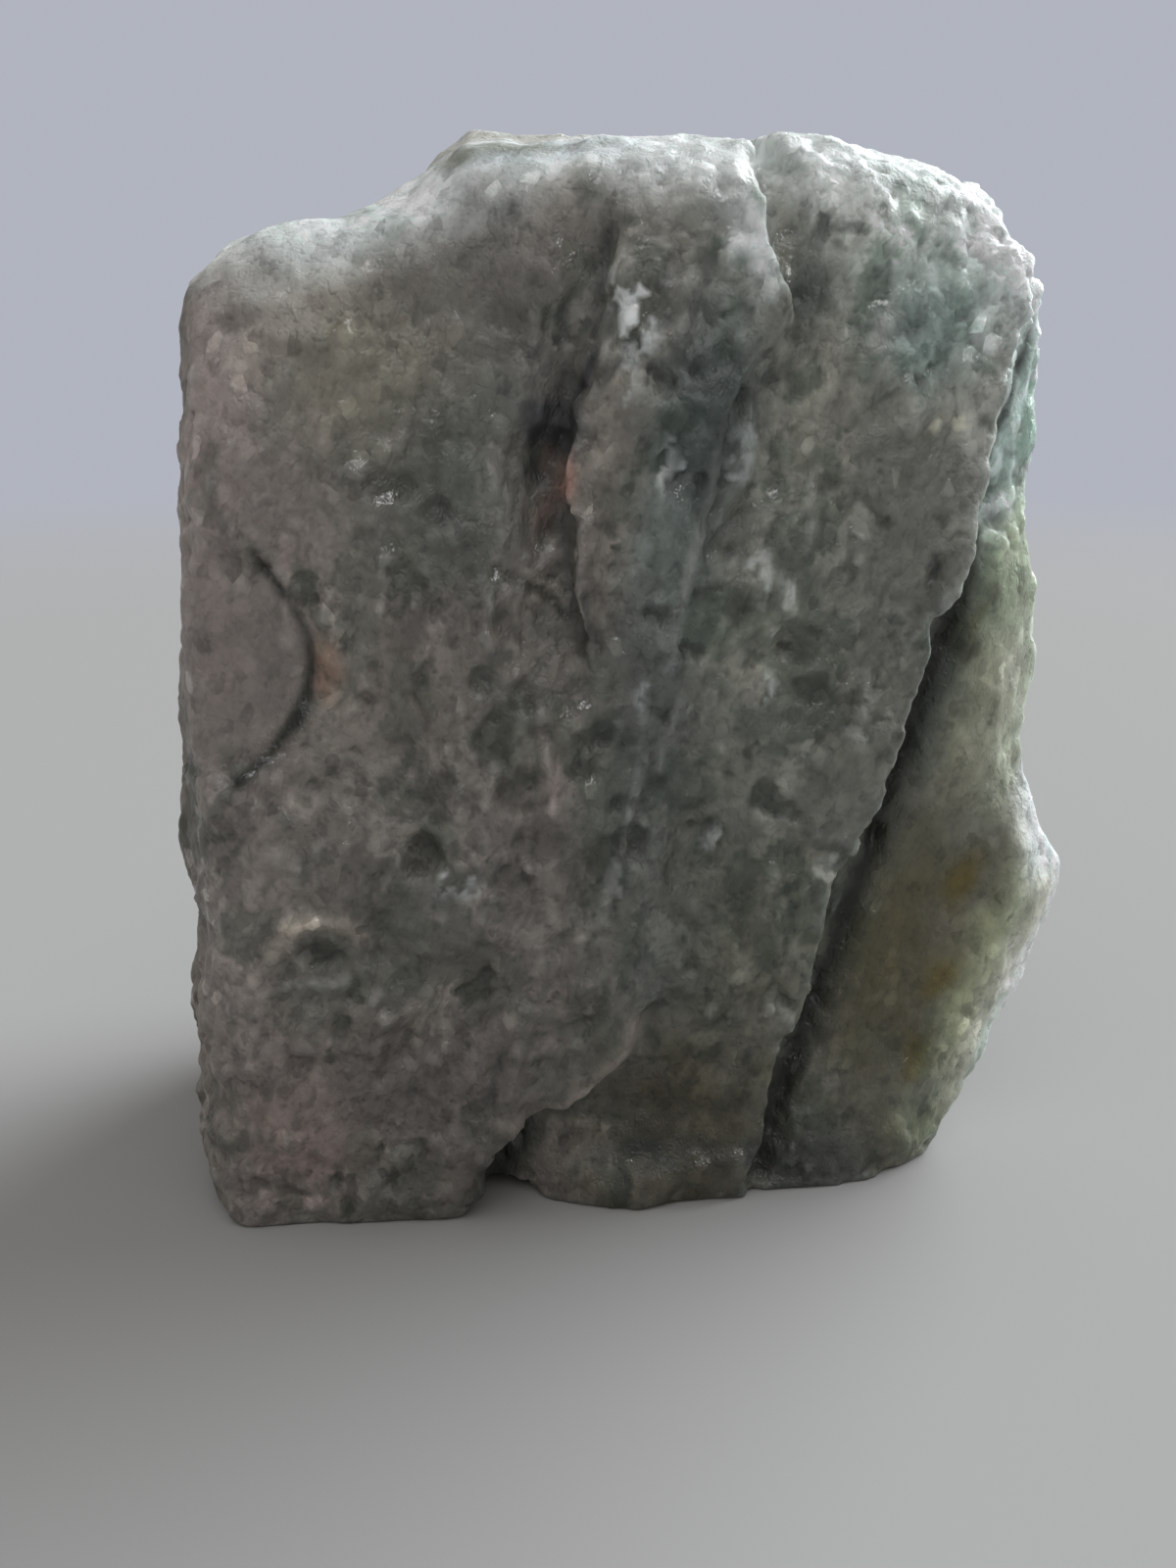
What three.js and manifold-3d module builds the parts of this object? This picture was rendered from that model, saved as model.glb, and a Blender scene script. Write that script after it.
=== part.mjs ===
// Raw aventurine: one rough block of foliated, sugary green quartzite, broken to size and left unpolished.
//
// Units are millimetres and +Z is up. The stone is shaped in a working frame whose y = 0 plane is the broken
// front, with +Y into the stone, z = 0 on the surface that it stands on, and x = 0 at the foot of the crack
// that runs down the front. At the end it is moved so that the origin is the middle of its footprint.
//
// The layers of the rock stand nearly upright and lean to the right. They break away in slabs, which leaves
// long slanted ledges on the front and back, and flatter cleavage faces on the two sides.

import * as THREE from 'three';
import { mergeVertices } from 'three/addons/utils/BufferGeometryUtils.js';
import Module from 'manifold-3d';

const wasm = await Module();
wasm.setup();

const { clamp, lerp, mapLinear, smoothstep } = THREE.MathUtils;

// ---------------------------------------------------------------- driving dimensions

const NOMINAL_HEIGHT = 90; // base to the top edge, before the ridge and the knobs
const DEPTH = 45; // front slab to the back face, at mid height
const RIDGE_DEPTH = 17; // from the front slab back to the ridge along the top
const BROW = { foot: 76, depth: 3.4 }; // the front leans back above this height, by this much at the top
const BACK_FALL = 0.32; // how steeply the top falls behind its ridge
const BACK_LEAN = { top: 9, left: 4, foot: 5 }; // how far the back draws in at its top, its left and its foot
const SIDE_TAPER = 5; // how far the sides draw in at the back
const SIDE_PLANES = { left: -36, right: 44 }; // planes from which the breaks in the sides are measured
const LAYER_LEAN = THREE.MathUtils.degToRad(15); // lean of the rock's layers from upright
const EDGE_RADIUS = 3.4; // worn edges of the block
const BELOW_FEET = 3; // how far the uncut block reaches below the surface that it stands on
const HALF_WIDTH = 38; // of the box that the block is bent from
const GRID = { across: 21, deep: 11, up: 27 }; // cells of the block's skin

// Waviness of the broken faces: the size of a wave and its height.
const SWELL = { size: 17, height: 1.5 };
const LUMPS = { size: 7, height: 1 };
const LAYER_RIBS = { thickness: 5, length: 30, height: 0.7 };

// Outlines of the sides, as [height, x] at the edge between a side and the front.
const LEFT_SIDE = [[-3, -29], [4, -31.5], [12, -32.3], [24, -32.6], [34, -31.6], [42, -32], [52, -32.7],
  [60, -31.8], [68, -30.8], [78, -29.3], [92, -28]];
// How far the left side widens behind its edge, as [height, width].
const LEFT_FLARE = [[0, 3.8], [20, 3], [36, 2.1], [50, 1.1], [92, 1]];
const RIGHT_SIDE = [[-3, 31], [0, 34], [4, 38], [8, 40.5], [14, 43.5], [20, 46.8], [27, 48.8], [32, 47.6],
  [36, 44.5], [44, 42], [50, 42.3], [58, 42.3], [64, 40.3], [70, 39.4], [79, 39.4], [84, 38.6], [88, 36.3],
  [92, 34]];

// Outlines of the top, as [x, height].
const FRONT_CREST = [[-34, 77], [-28, 78.5], [-18, 79.5], [-9, 82.5], [-1, 85], [5, 85.5], [14, 86], [30, 86],
  [35, 84.5], [40, 81]];
const BACK_RIDGE = [[-36, 78.5], [-27, 81.9], [-16, 86.2], [-11.5, 87.6], [-8, 91.2], [4, 91.4], [14, 90.4],
  [25, 90.3], [33, 89.6], [37, 88.5], [41, 86]];

// Edges of the ledges on the front, as [x, z] from the top down.
const CRACK = [[2.5, 86], [1.5, 80], [0.5, 72], [-1.5, 66.5], [-2, 64], [-0.5, 61], [-0.7, 56], [1, 49],
  [2, 44]];
const SEAM = [[13.2, 89], [13.8, 84], [14.8, 80.5], [16.4, 78.2], [16.2, 76.4], [14.6, 74.6], [13, 72.5],
  [12, 69], [10.5, 62], [8.5, 54], [6, 44], [4.5, 36], [2, 28]];
const LEDGE = [[38, 90], [34.8, 78], [32.7, 70], [31.5, 61], [29, 52], [27, 43.5], [24, 34.5], [21.5, 30.5],
  [21, 22], [18.5, 16], [17, 8], [15, -3]];
const LIP = [[13, 27], [8, 22], [4.8, 19.5], [4.2, 16], [0.5, 12], [-4.5, 9.8], [-7, 8], [-8.5, 3], [-10, -3]];
const SCAR = [[-38, 62], [-26.5, 60.5], [-23.4, 57.4], [-21, 53], [-21.8, 48.4], [-25, 44.2], [-29, 41.2],
  [-38, 39]];

// How deep the missing slabs are at each height, as [height, depth].
const LEDGE_STEP = [[-3, -0.4], [1, 0.4], [6, 1.9], [15, 3.8], [26, 5.2], [60, 5.2], [72, 4.2], [84, 2.6]];
const SEAM_STEP = [[25, -0.6], [32, 0.4], [44, 0.7], [60, 0.7], [72, 0.8], [79, 1], [88, 0.7]];
// The groove on the right of the seam where it nears the top: its right edge, as [x, z].
const SEAM_GROOVE = [[16.2, 91], [17.4, 86], [18.6, 82], [20.2, 79], [19.2, 76]];
const HOLLOW_DEPTH = [[43, -1], [48, 0.9], [56, 2.2], [62, 3.2], [67, 5.2], [72, 3.6], [80, 2.4], [86, 1]];

// The bevel and the knuckle on the right of the long ledge, and the crevice at the foot of its wall.
const BEVEL = { width: 6, slope: 0.6 };
const KNUCKLE = { x: 43, z: 28, width: 4, length: 5, height: 1.8 };
const CREVICE = { width: 1.6, depth: 1.6 };

// The open crack above the hollow, as [x, z] along its middle, and its width and depth.
const CRACK_SLOT = {
  head: [2.9, 86],
  middle: [[2.4, 83.5], [1.9, 80.5], [1.2, 76]],
  tip: [0.5, 71.5],
};
const CRACK_SIZE = { width: 0.7, foot: 3.8, top: 1.6 };

// Pits in the front, as [x, z, radius], sunk to PIT_RISE of their radius in front of the skin.
const FRONT_PITS = [[-10.5, 63, 1.8], [-14, 64.5, 2], [-3.5, 36.8, 1.9], [-13.2, 35.4, 2.2], [-4.8, 36.6, 1.5],
  [8.7, 64.8, 1.9], [6, 72.5, 1.8], [0.5, 36, 1.6], [-22, 28.5, 2], [15.5, 62.5, 1.8], [19, 54, 1.6],
  [26, 60, 1.6], [-24, 17, 1.6], [-13, 10, 1.8]];
const PIT_RISE = 0.5;
// Knobs on the front, as [x, y, z, radius].
const FRONT_KNOBS = [[4, 0.9, 79.5, 2.2], [4.6, 0.9, 75, 1.9], [3.4, 0.8, 70.5, 1.6], [15.2, 1.6, 57, 2.2],
  [21.3, 1.6, 33, 2.2], [22.5, 1.8, 72, 2.2], [23.5, 1.8, 76.5, 2], [23, 1.6, 47.5, 2], [28, 1.8, 66, 2],
  [-6.5, 1, 50.5, 2], [8.2, 1.2, 55.5, 1.8], [9.2, 1.4, 23.5, 2], [2.5, 1.2, 17.5, 2.2], [-2, 1.2, 12, 2.2]];
// Crystals that crowd the upper right corner, scattered over this part of its rounded front.
const CORNER = {
  knobs: 14,
  x: [28, 37],
  z: [71, 83],
  radius: [1.6, 2.4],
  front: 2.9, // depth of the corner's front
  curve: 0.07, // how it turns back towards the right side
  shoulder: 80, // height above which it turns back towards the top
};
// Pits scattered over the back and the sides.
const FAR_PITS = { count: 15, across: [-30, 28], deep: [12, 36], up: [10, 74], radius: [1.8, 3] };
// The hollow between the two front feet, as [x, y, z, radius] of the grains that fell out of it.
const ARCH = [[-8, 0.4, -0.8, 3.3], [-5.6, 1.8, -1.6, 3.2], [-6.8, 4.6, -0.9, 3.3], [-6, 8.5, -1.2, 3.2],
  [-5.2, 12.5, -1.6, 3]];

// ---------------------------------------------------------------- helpers

/** Straight runs through [place, value] pairs in rising order of place, read at any place. */
function profile(pairs) {
  const last = pairs.length - 1;
  return (place) => {
    if (place <= pairs[0][0]) return pairs[0][1];
    if (place >= pairs[last][0]) return pairs[last][1];
    const next = pairs.findIndex(([p]) => p > place);
    const [p0, v0] = pairs[next - 1];
    const [p1, v1] = pairs[next];
    return mapLinear(place, p0, p1, v0, v1);
  };
}

/** The x of an edge at any height, from its [x, z] points. */
function edgeX(points) {
  return profile(points.map(([x, z]) => [z, x]).sort((a, b) => a[0] - b[0]));
}

/** A repeatable number from 0 to 1 for one point of a lattice. */
function lattice(i, j, k) {
  const s = Math.sin(i * 127.1 + j * 311.7 + k * 74.7) * 43758.5453;
  return s - Math.floor(s);
}

/** Smooth noise from -1 to 1, with one wave for each unit. */
function noise(x, y, z) {
  const [i, j, k] = [Math.floor(x), Math.floor(y), Math.floor(z)];
  const [u, v, w] = [x - i, y - j, z - k].map((t) => t * t * (3 - 2 * t));
  const row = (b, c) => lerp(lattice(i, j + b, k + c), lattice(i + 1, j + b, k + c), u);
  const sheet = (c) => lerp(row(0, c), row(1, c), v);
  return 2 * lerp(sheet(0), sheet(1), w) - 1;
}

/** Waves of one size and height in all three directions at a point. */
function waves({ x, y, z }, { size, height }) {
  const [a, b, c] = [x / size, y / size, z / size];
  return new THREE.Vector3(noise(a, b, c), noise(a + 31.4, b, c), noise(a, b + 57.2, c)).multiplyScalar(height);
}

/** Moves each vertex of a geometry to where a function of its position says. */
function reshape(geometry, place) {
  const position = geometry.attributes.position;
  const point = new THREE.Vector3();
  for (let i = 0; i < position.count; i += 1) {
    const moved = place(point.fromBufferAttribute(position, i).clone());
    position.setXYZ(i, moved.x, moved.y, moved.z);
  }
  return geometry;
}

/** A closed geometry as a solid that can be joined and cut. */
function solid(geometry) {
  geometry.deleteAttribute('normal');
  geometry.deleteAttribute('uv');
  const merged = mergeVertices(geometry, 1e-3);
  return new wasm.Manifold(new wasm.Mesh({
    numProp: 3,
    vertProperties: merged.attributes.position.array,
    triVerts: Uint32Array.from(merged.index.array),
  }));
}

// ---------------------------------------------------------------- the block

const leftSide = profile(LEFT_SIDE);
const leftFlare = profile(LEFT_FLARE);
const rightSide = profile(RIGHT_SIDE);
const frontCrest = profile(FRONT_CREST);
const backRidge = profile(BACK_RIDGE);

/** Height of the top face: up from the front crest to the ridge, and down again behind it. */
function topHeight(x, y) {
  const rise = smoothstep(y, -0.4 * RIDGE_DEPTH, RIDGE_DEPTH);
  return lerp(frontCrest(x), backRidge(x), rise) - BACK_FALL * Math.max(0, y - RIDGE_DEPTH);
}

/** Depth of the back face. */
function backDepth(x, z) {
  const top = smoothstep(z, 35, NOMINAL_HEIGHT);
  const left = smoothstep(-x, 0, 34);
  const foot = smoothstep(-z, -16, 0);
  return DEPTH - BACK_LEAN.top * top - BACK_LEAN.left * left - BACK_LEAN.foot * foot;
}

/** How far the front leans back, at any height. */
function browDepth(z) {
  return BROW.depth * clamp((z - BROW.foot) / (NOMINAL_HEIGHT - BROW.foot), 0, 1) ** 1.7;
}

/** How far the sides draw in towards the back. */
function sideTaper(y) {
  return SIDE_TAPER * smoothstep(y, 14, DEPTH);
}

/** Rounds the edges of a box of the given half sizes by moving a point of its surface inwards. */
function wornEdge(point, half) {
  const inner = half.clone().subScalar(EDGE_RADIUS);
  const core = point.clone().clamp(inner.clone().negate(), inner);
  return core.add(point.clone().sub(core).setLength(EDGE_RADIUS));
}

/** Waves over the broken faces, and ribs that follow the leaning layers. The foot of the stone stays level. */
function weather(point) {
  const { x, y, z } = point;
  const along = x * Math.sin(LAYER_LEAN) + z * Math.cos(LAYER_LEAN);
  const across = x * Math.cos(LAYER_LEAN) - z * Math.sin(LAYER_LEAN);
  const { thickness, length, height } = LAYER_RIBS;
  const moved = waves(point, SWELL).add(waves(point, LUMPS));
  moved.y += height * noise(across / thickness, y / length, along / length);
  moved.z *= smoothstep(z, 2, 12);
  return point.clone().add(moved);
}

/** The block with its worn edges and wavy faces, before any slab breaks away. */
function block() {
  const half = new THREE.Vector3(HALF_WIDTH, DEPTH / 2, NOMINAL_HEIGHT / 2);
  const box = new THREE.BoxGeometry(2 * half.x, 2 * half.y, 2 * half.z, GRID.across, GRID.deep, GRID.up);
  reshape(box, (corner) => {
    const worn = wornEdge(corner, half).divide(half).addScalar(1).multiplyScalar(0.5);
    const height = lerp(-BELOW_FEET, NOMINAL_HEIGHT, worn.z);
    const left = leftSide(height);
    const right = rightSide(height);
    const y = lerp(browDepth(height), backDepth(lerp(left, right, worn.x), height), worn.y);
    const flare = leftFlare(height) * smoothstep(y, 0, 9);
    const taper = sideTaper(y);
    const x = lerp(left - flare + 0.6 * taper, right - taper, worn.x);
    return weather(new THREE.Vector3(x, y, lerp(-BELOW_FEET, topHeight(x, y), worn.z)));
  });
  return solid(box);
}

// ---------------------------------------------------------------- slabs that broke away

const X = new THREE.Vector3(1, 0, 0);
const Y = new THREE.Vector3(0, 1, 0);
const Z = new THREE.Vector3(0, 0, 1);
const CLEAR = 14; // how far a cutting solid stands out of the stone, so that it cuts through the skin

/** The matrix of a face seen square on: u to its right, depth into the stone, v up the face. */
function seenFrom(u, depth, v, origin) {
  return new THREE.Matrix4().makeBasis(u, depth, v).setPosition(...origin);
}

// Each face with how deep its unbroken skin lies below the plane of the face, at (u, v).
const FACE = {
  front: { matrix: new THREE.Matrix4(), skin: (u, v) => browDepth(v) },
  back: {
    matrix: seenFrom(X.clone().negate(), Y.clone().negate(), Z, [0, DEPTH, 0]),
    skin: (u, v) => DEPTH - backDepth(-u, v),
  },
  left: {
    matrix: seenFrom(Y.clone().negate(), X, Z, [SIDE_PLANES.left, 0, 0]),
    skin: (u, v) => leftSide(v) - leftFlare(v) - SIDE_PLANES.left,
  },
  right: {
    matrix: seenFrom(Y, X.clone().negate(), Z, [SIDE_PLANES.right, 0, 0]),
    skin: (u, v) => SIDE_PLANES.right - rightSide(v) + sideTaper(u),
  },
  top: {
    matrix: seenFrom(X, Z.clone().negate(), Y, [0, 0, NOMINAL_HEIGHT]),
    skin: (u, v) => NOMINAL_HEIGHT - topHeight(u, v),
  },
};

/** Breaks a line of points into short steps that wander to either side, as a fracture does. */
function ragged(points, step = 2.4, wander = 0.55) {
  const line = points.slice(1).flatMap(([x1, z1], i) => {
    const [x0, z0] = points[i];
    const steps = Math.max(1, Math.round(Math.hypot(x1 - x0, z1 - z0) / step));
    return Array.from({ length: steps }, (_, s) => {
      const x = lerp(x0, x1, s / steps);
      const z = lerp(z0, z1, s / steps);
      return [x + wander * noise(x * 0.9, 3.3, z * 0.9), z + wander * noise(x * 0.9, 8.1, z * 0.9)];
    });
  });
  return [...line, points[points.length - 1]];
}

/** A flat floor: its depth at one place, and how much deeper it gets for each millimetre to the right and up. */
function tilted(depth, [u0, v0], right, up) {
  return (u, v) => depth + right * (u - u0) + up * (v - v0);
}

/**
 * What breaks away inside an outline, down to a floor.
 * outline: the [u, v] points of the break; floor: its depth below the skin at (u, v); cell: size of the floor's
 * facets; rough: height of the floor's lumps; face: the face that it breaks from.
 */
function breakAway({ outline, floor, cell = 3.4, rough = 0.35, face = FACE.front }) {
  const shape = new THREE.Shape(outline.map(([u, v]) => new THREE.Vector2(u, v)));
  const prism = new THREE.ExtrudeGeometry(shape, { depth: 3 * CLEAR, bevelEnabled: false });
  prism.rotateX(Math.PI / 2).translate(0, 2 * CLEAR, 0);
  const area = new THREE.Box2().setFromPoints(shape.getPoints()).expandByScalar(1);
  const size = area.getSize(new THREE.Vector2());
  const middle = area.getCenter(new THREE.Vector2());
  const cells = [Math.ceil(size.x / cell), 1, Math.ceil(size.y / cell)];
  const slab = new THREE.BoxGeometry(size.x, 1, size.y, ...cells).translate(middle.x, 0, middle.y);
  reshape(slab, ({ x: u, y, z: v }) => {
    const shift = cell * 0.3;
    const lumps = rough * (noise(u / 3.7, 5.5, v / 3.7) + noise(u / 9.5, 2.5, v / 9.5));
    const depth = y < 0 ? -CLEAR : face.skin(u, v) + floor(u, v) + lumps;
    return new THREE.Vector3(u + shift * noise(u / 4, 1.7, v / 4), depth, v + shift * noise(u / 4, 9.4, v / 4));
  });
  return solid(prism.applyMatrix4(face.matrix)).intersect(solid(slab.applyMatrix4(face.matrix)));
}

/** The slab that is missing to the right of the long ledge. Its floor bevels back to the right side. */
function slabRightOfLedge() {
  const ledge = edgeX(LEDGE);
  const step = profile(LEDGE_STEP);
  return breakAway({
    outline: [...ragged(LEDGE), [60, -3], [60, 90]],
    floor: (u, v) => {
      const out = u - ledge(v);
      const bevel = BEVEL.slope * Math.max(0, u - rightSide(v) + BEVEL.width);
      const crevice = CREVICE.depth * Math.exp(-Math.max(0, out) / CREVICE.width);
      const off = ((u - KNUCKLE.x) / KNUCKLE.width) ** 2 + ((v - KNUCKLE.z) / KNUCKLE.length) ** 2;
      return step(v) + 0.07 * out + bevel + crevice - KNUCKLE.height * Math.exp(-off);
    },
  });
}

/** The thin layer that is missing between the seam and the long ledge. */
function layerRightOfSeam() {
  const seam = edgeX(SEAM);
  const step = profile(SEAM_STEP);
  return breakAway({
    outline: [...ragged(SEAM, 2.6, 0.35), [20, 22], [60, 22], [60, 88]],
    floor: (u, v) => step(v) - 0.035 * (u - seam(v)),
    rough: 0.8,
  });
}

/** The groove along the top of the seam, deepest against the seam's edge. */
function grooveBesideSeam() {
  const seam = edgeX(SEAM);
  const top = SEAM.filter(([, z]) => z > 76);
  return breakAway({
    outline: [...ragged(top, 2, 0.6), ...ragged(SEAM_GROOVE, 2, 0.5).reverse()],
    floor: (u, v) => 2.9 - 0.5 * Math.max(0, u - seam(v)) - 0.5 * Math.max(0, 78 - v),
    rough: 0.2,
    cell: 2.6,
  });
}

/** The hollow on the left of the crack, deepest half way down it. */
function hollowLeftOfCrack() {
  const crack = edgeX(CRACK);
  const depth = profile(HOLLOW_DEPTH);
  const proud = 1; // how far in front of the skin the floor starts, at the hollow's left edge
  return breakAway({
    outline: [...ragged(CRACK, 2, 0.6), [-6, 44], [-15, 56], [-15, 88], [2, 92]],
    floor: (u, v) => {
      const near = clamp(mapLinear(u, crack(v) - 14, crack(v), 0, 1), 0, 1);
      return -proud + (depth(v) + proud) * near ** 1.6;
    },
  });
}

/** The recess under the curved lip at the foot. It runs out towards its top and its foot. */
function recessUnderLip() {
  return breakAway({
    outline: [...ragged(LIP, 2.2, 0.4), [24, -3], [24, 27]],
    floor: (u, v) => {
      const foot = smoothstep(-v, -8, 0);
      const runOut = 2 * foot * smoothstep(u, -8, 1);
      return 3.4 - 0.1 * (1 + foot) * Math.max(0, u + 6) - 0.1 * Math.max(0, v - 9) - runOut;
    },
    rough: 0.25,
  });
}

/** The smooth shell-shaped scar half way up the left edge. */
function scarOnLeft() {
  return breakAway({
    outline: ragged(SCAR, 2.2, 0.6),
    floor: (u, v) => 2.3 - 0.08 * (-21 - u) - 0.009 * (v - 50) ** 2,
    rough: 0.2,
  });
}

/** A shelf on the face to the left of the crack, under a small overhanging lip. */
function shelfOnFace() {
  return breakAway({
    outline: [...ragged([[-0.5, 56.5], [-4, 58.5], [-8.5, 61]], 2, 0.3), [-13, 54], [-6, 47], [-1, 50]],
    floor: (u, v) => 1.7 - 0.22 * (59 - v) - 0.22 * Math.max(0, -4 - u),
    rough: 0.2,
  });
}

/** The crack itself, where it is open at the top. */
function crackSlot() {
  const { middle, head, tip } = CRACK_SLOT;
  const { width, foot, top } = CRACK_SIZE;
  const side = (offset) => middle.map(([u, v]) => [u + offset, v]);
  return breakAway({
    outline: [head, ...side(-width / 2), tip, ...side(width / 2).reverse()],
    floor: (u, v) => lerp(foot, top, smoothstep(v, 70, 86)),
    rough: 0.1,
  });
}

/** Steps in the top, where layers stand at different heights, and the groove where the seam crosses it. */
function breaksOnTop() {
  const leftStep = [[-9.5, 7], [-10.5, 14], [-8.5, 22], [-10, 30], [-7, 48]];
  const rightStep = [[14, 50], [17, 36], [20, 25], [24, 21], [34, 19], [46, 17]];
  const grooveLeft = [[15, -6], [14.4, 4], [13, 10], [12.2, 16]];
  const grooveRight = [[13.4, 16], [14.8, 10], [16.2, 4], [16.8, -6]];
  const leftFloor = tilted(0.8, [-10, 18], 0.04, 0.1);
  return [
    {
      outline: [...ragged(leftStep, 2.2, 0.5), [-44, 48], [-44, 7]],
      floor: (u, v) => leftFloor(u, Math.max(18, v)) + 0.5 * Math.min(0, v - 12),
      cell: 4.5,
    },
    {
      outline: [...ragged(rightStep, 2.8, 0.6), [50, 50]],
      floor: tilted(2.2, [20, 18], 0.05, 0.05),
      cell: 4.5,
    },
    {
      outline: [...ragged(grooveLeft, 2.4, 0.4), ...ragged(grooveRight, 2.4, 0.4)],
      floor: tilted(1.6, [0, 0], 0, -0.08),
      cell: 5,
      rough: 0.2,
    },
  ].map((piece) => breakAway({ face: FACE.top, ...piece }));
}

/** Slabs that are missing from the back: two slanted ledges with a rib between them, and a broken foot. */
function breaksOnBack() {
  const innerLedge = [[3, 96], [1, 80], [-3, 66], [-5, 52], [-10, 38], [-12, 24], [-17, 8], [-18, -4]];
  const outerLedge = [[27, 96], [24, 78], [21, 62], [16, 46], [14, 30], [9, 14], [7, -4]];
  const foot = [[-46, 26], [-34, 23], [-27, 27], [-20, 20], [-13, 17], [-9, 9], [-12, 2], [-10, -4]];
  const innerFloor = tilted(3.4, [-12, 30], 0.11, -0.035);
  return [
    {
      outline: [...ragged(innerLedge, 3.4), [-60, -4], [-60, 96]],
      floor: (u, v) => innerFloor(Math.min(-12, u), v),
      rough: 0.8,
    },
    {
      outline: [...ragged(outerLedge, 3.4, 0.6), [60, -4], [60, 96]],
      floor: tilted(3, [16, 30], -0.06, 0.025),
      rough: 0.9,
    },
    { outline: [...ragged(foot, 3, 0.6), [-46, -4]], floor: tilted(5.5, [0, 0], 0, -0.16), rough: 0.5 },
  ].map((piece) => breakAway({ face: FACE.back, cell: 5, ...piece }));
}

/** Cleavage steps on the two sides. */
function breaksOnSides() {
  const leftFoot = [[-50, 36], [-38, 40], [-28, 35], [-20, 37], [-13, 30], [-10, 16], [-12, 2], [-10, -4]];
  const leftTop = [[-24, 96], [-22, 80], [-27, 68], [-32, 58], [-44, 54], [-54, 55]];
  const rightBack = [[18, 96], [19, 82], [24, 66], [23, 50], [28, 38], [27, 22], [32, 8], [31, -4]];
  return [
    {
      face: FACE.left,
      outline: [...ragged(leftFoot, 3.4), [-52, -4]],
      floor: tilted(2.4, [-30, 30], -0.03, -0.02),
    },
    { face: FACE.left, outline: [...ragged(leftTop, 3.4), [-54, 96]], floor: tilted(2.4, [-30, 0], -0.05, 0) },
    {
      face: FACE.right,
      outline: [...ragged(rightBack, 3.4), [56, -4], [56, 96]],
      floor: tilted(2.4, [22, 40], 0.05, -0.015),
      rough: 0.6,
    },
  ].map((piece) => breakAway({ cell: 5, ...piece }));
}

// ---------------------------------------------------------------- pits and knobs

/** A many-sided grain of quartz, flattened and turned by its place. */
function grain([x, y, z], radius, flat = 0.8) {
  const gem = new THREE.IcosahedronGeometry(radius, 0);
  reshape(gem, (p) => p.multiplyScalar(1 + 0.22 * noise(p.x + x, p.y + y, p.z + z)));
  gem.scale(1, flat, 1).rotateY(Math.PI * noise(x, y, z)).rotateX(0.4 * noise(z, x, y));
  return solid(gem.translate(x, y, z));
}

/** The crystals of the upper right corner, set out over its curved front by a repeatable scatter. */
function cornerKnobs() {
  return Array.from({ length: CORNER.knobs }, (_, i) => {
    const x = lerp(...CORNER.x, lattice(i, 7, 1));
    const z = lerp(...CORNER.z, lattice(i, 9, 4));
    const y = CORNER.front + CORNER.curve * (x - CORNER.x[0]) ** 2 + Math.max(0, z - CORNER.shoulder);
    return grain([x, y, z], lerp(...CORNER.radius, lattice(i, 2, 5)));
  });
}

/** Pits scattered over the back and the sides. */
function farPits() {
  return Array.from({ length: FAR_PITS.count }, (_, i) => {
    const face = [FACE.back, FACE.left, FACE.right][i % 3];
    const reach = lerp(...(face === FACE.back ? FAR_PITS.across : FAR_PITS.deep), lattice(i, 4, 4));
    const u = face === FACE.left ? -reach : reach;
    const v = lerp(...FAR_PITS.up, lattice(i, 6, 2));
    const centre = new THREE.Vector3(u, face.skin(u, v) + 1, v).applyMatrix4(face.matrix);
    return grain(centre.toArray(), lerp(...FAR_PITS.radius, lattice(i, 1, 9)));
  });
}

// ---------------------------------------------------------------- the stone

/** Everything below the surface that the stone stands on, which leaves its flat worn feet. */
function underTheStone() {
  return solid(new THREE.BoxGeometry(200, 200, 40).translate(0, 0, -20));
}

/** The finished solid, moved so that the middle of its footprint is the origin. */
function stone() {
  const broken = [
    layerRightOfSeam(), grooveBesideSeam(), slabRightOfLedge(), hollowLeftOfCrack(), recessUnderLip(),
    scarOnLeft(), shelfOnFace(), crackSlot(), ...breaksOnTop(), ...breaksOnBack(), ...breaksOnSides(),
  ];
  const knobs = [...FRONT_KNOBS.map(([x, y, z, radius]) => grain([x, y, z], radius, 0.7)), ...cornerKnobs()];
  const pits = FRONT_PITS.map(([x, z, radius]) => grain([x, -PIT_RISE * radius, z], radius));
  const arch = ARCH.map(([x, y, z, radius]) => grain([x, y, z], radius, 1));
  const rough = broken.reduce((rest, piece) => rest.subtract(piece), block());
  const knobbed = knobs.reduce((rest, knob) => rest.add(knob), rough);
  const cuts = [...pits, ...farPits(), ...arch, underTheStone()];
  const { vertProperties, triVerts } = cuts.reduce((rest, cut) => rest.subtract(cut), knobbed).getMesh();
  const geometry = new THREE.BufferGeometry();
  geometry.setAttribute('position', new THREE.BufferAttribute(Float32Array.from(vertProperties), 3));
  geometry.setIndex(Array.from(triVerts));
  geometry.computeBoundingBox();
  const middle = geometry.boundingBox.getCenter(new THREE.Vector3());
  geometry.translate(-middle.x, -middle.y, 0);
  geometry.computeVertexNormals();
  return geometry;
}

const aventurine = new THREE.Mesh(
  stone(), new THREE.MeshStandardMaterial({ color: '#8d978f', roughness: 0.62, metalness: 0 }),
);
aventurine.name = 'aventurine';

const group = new THREE.Group();
group.add(aventurine);

export default group;
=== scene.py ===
"""Raw aventurine: the broken, sugary skin of the stone, its finish, and the plain studio around it."""

import logging
import math
from dataclasses import dataclass, field
from enum import Enum, IntEnum

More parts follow.
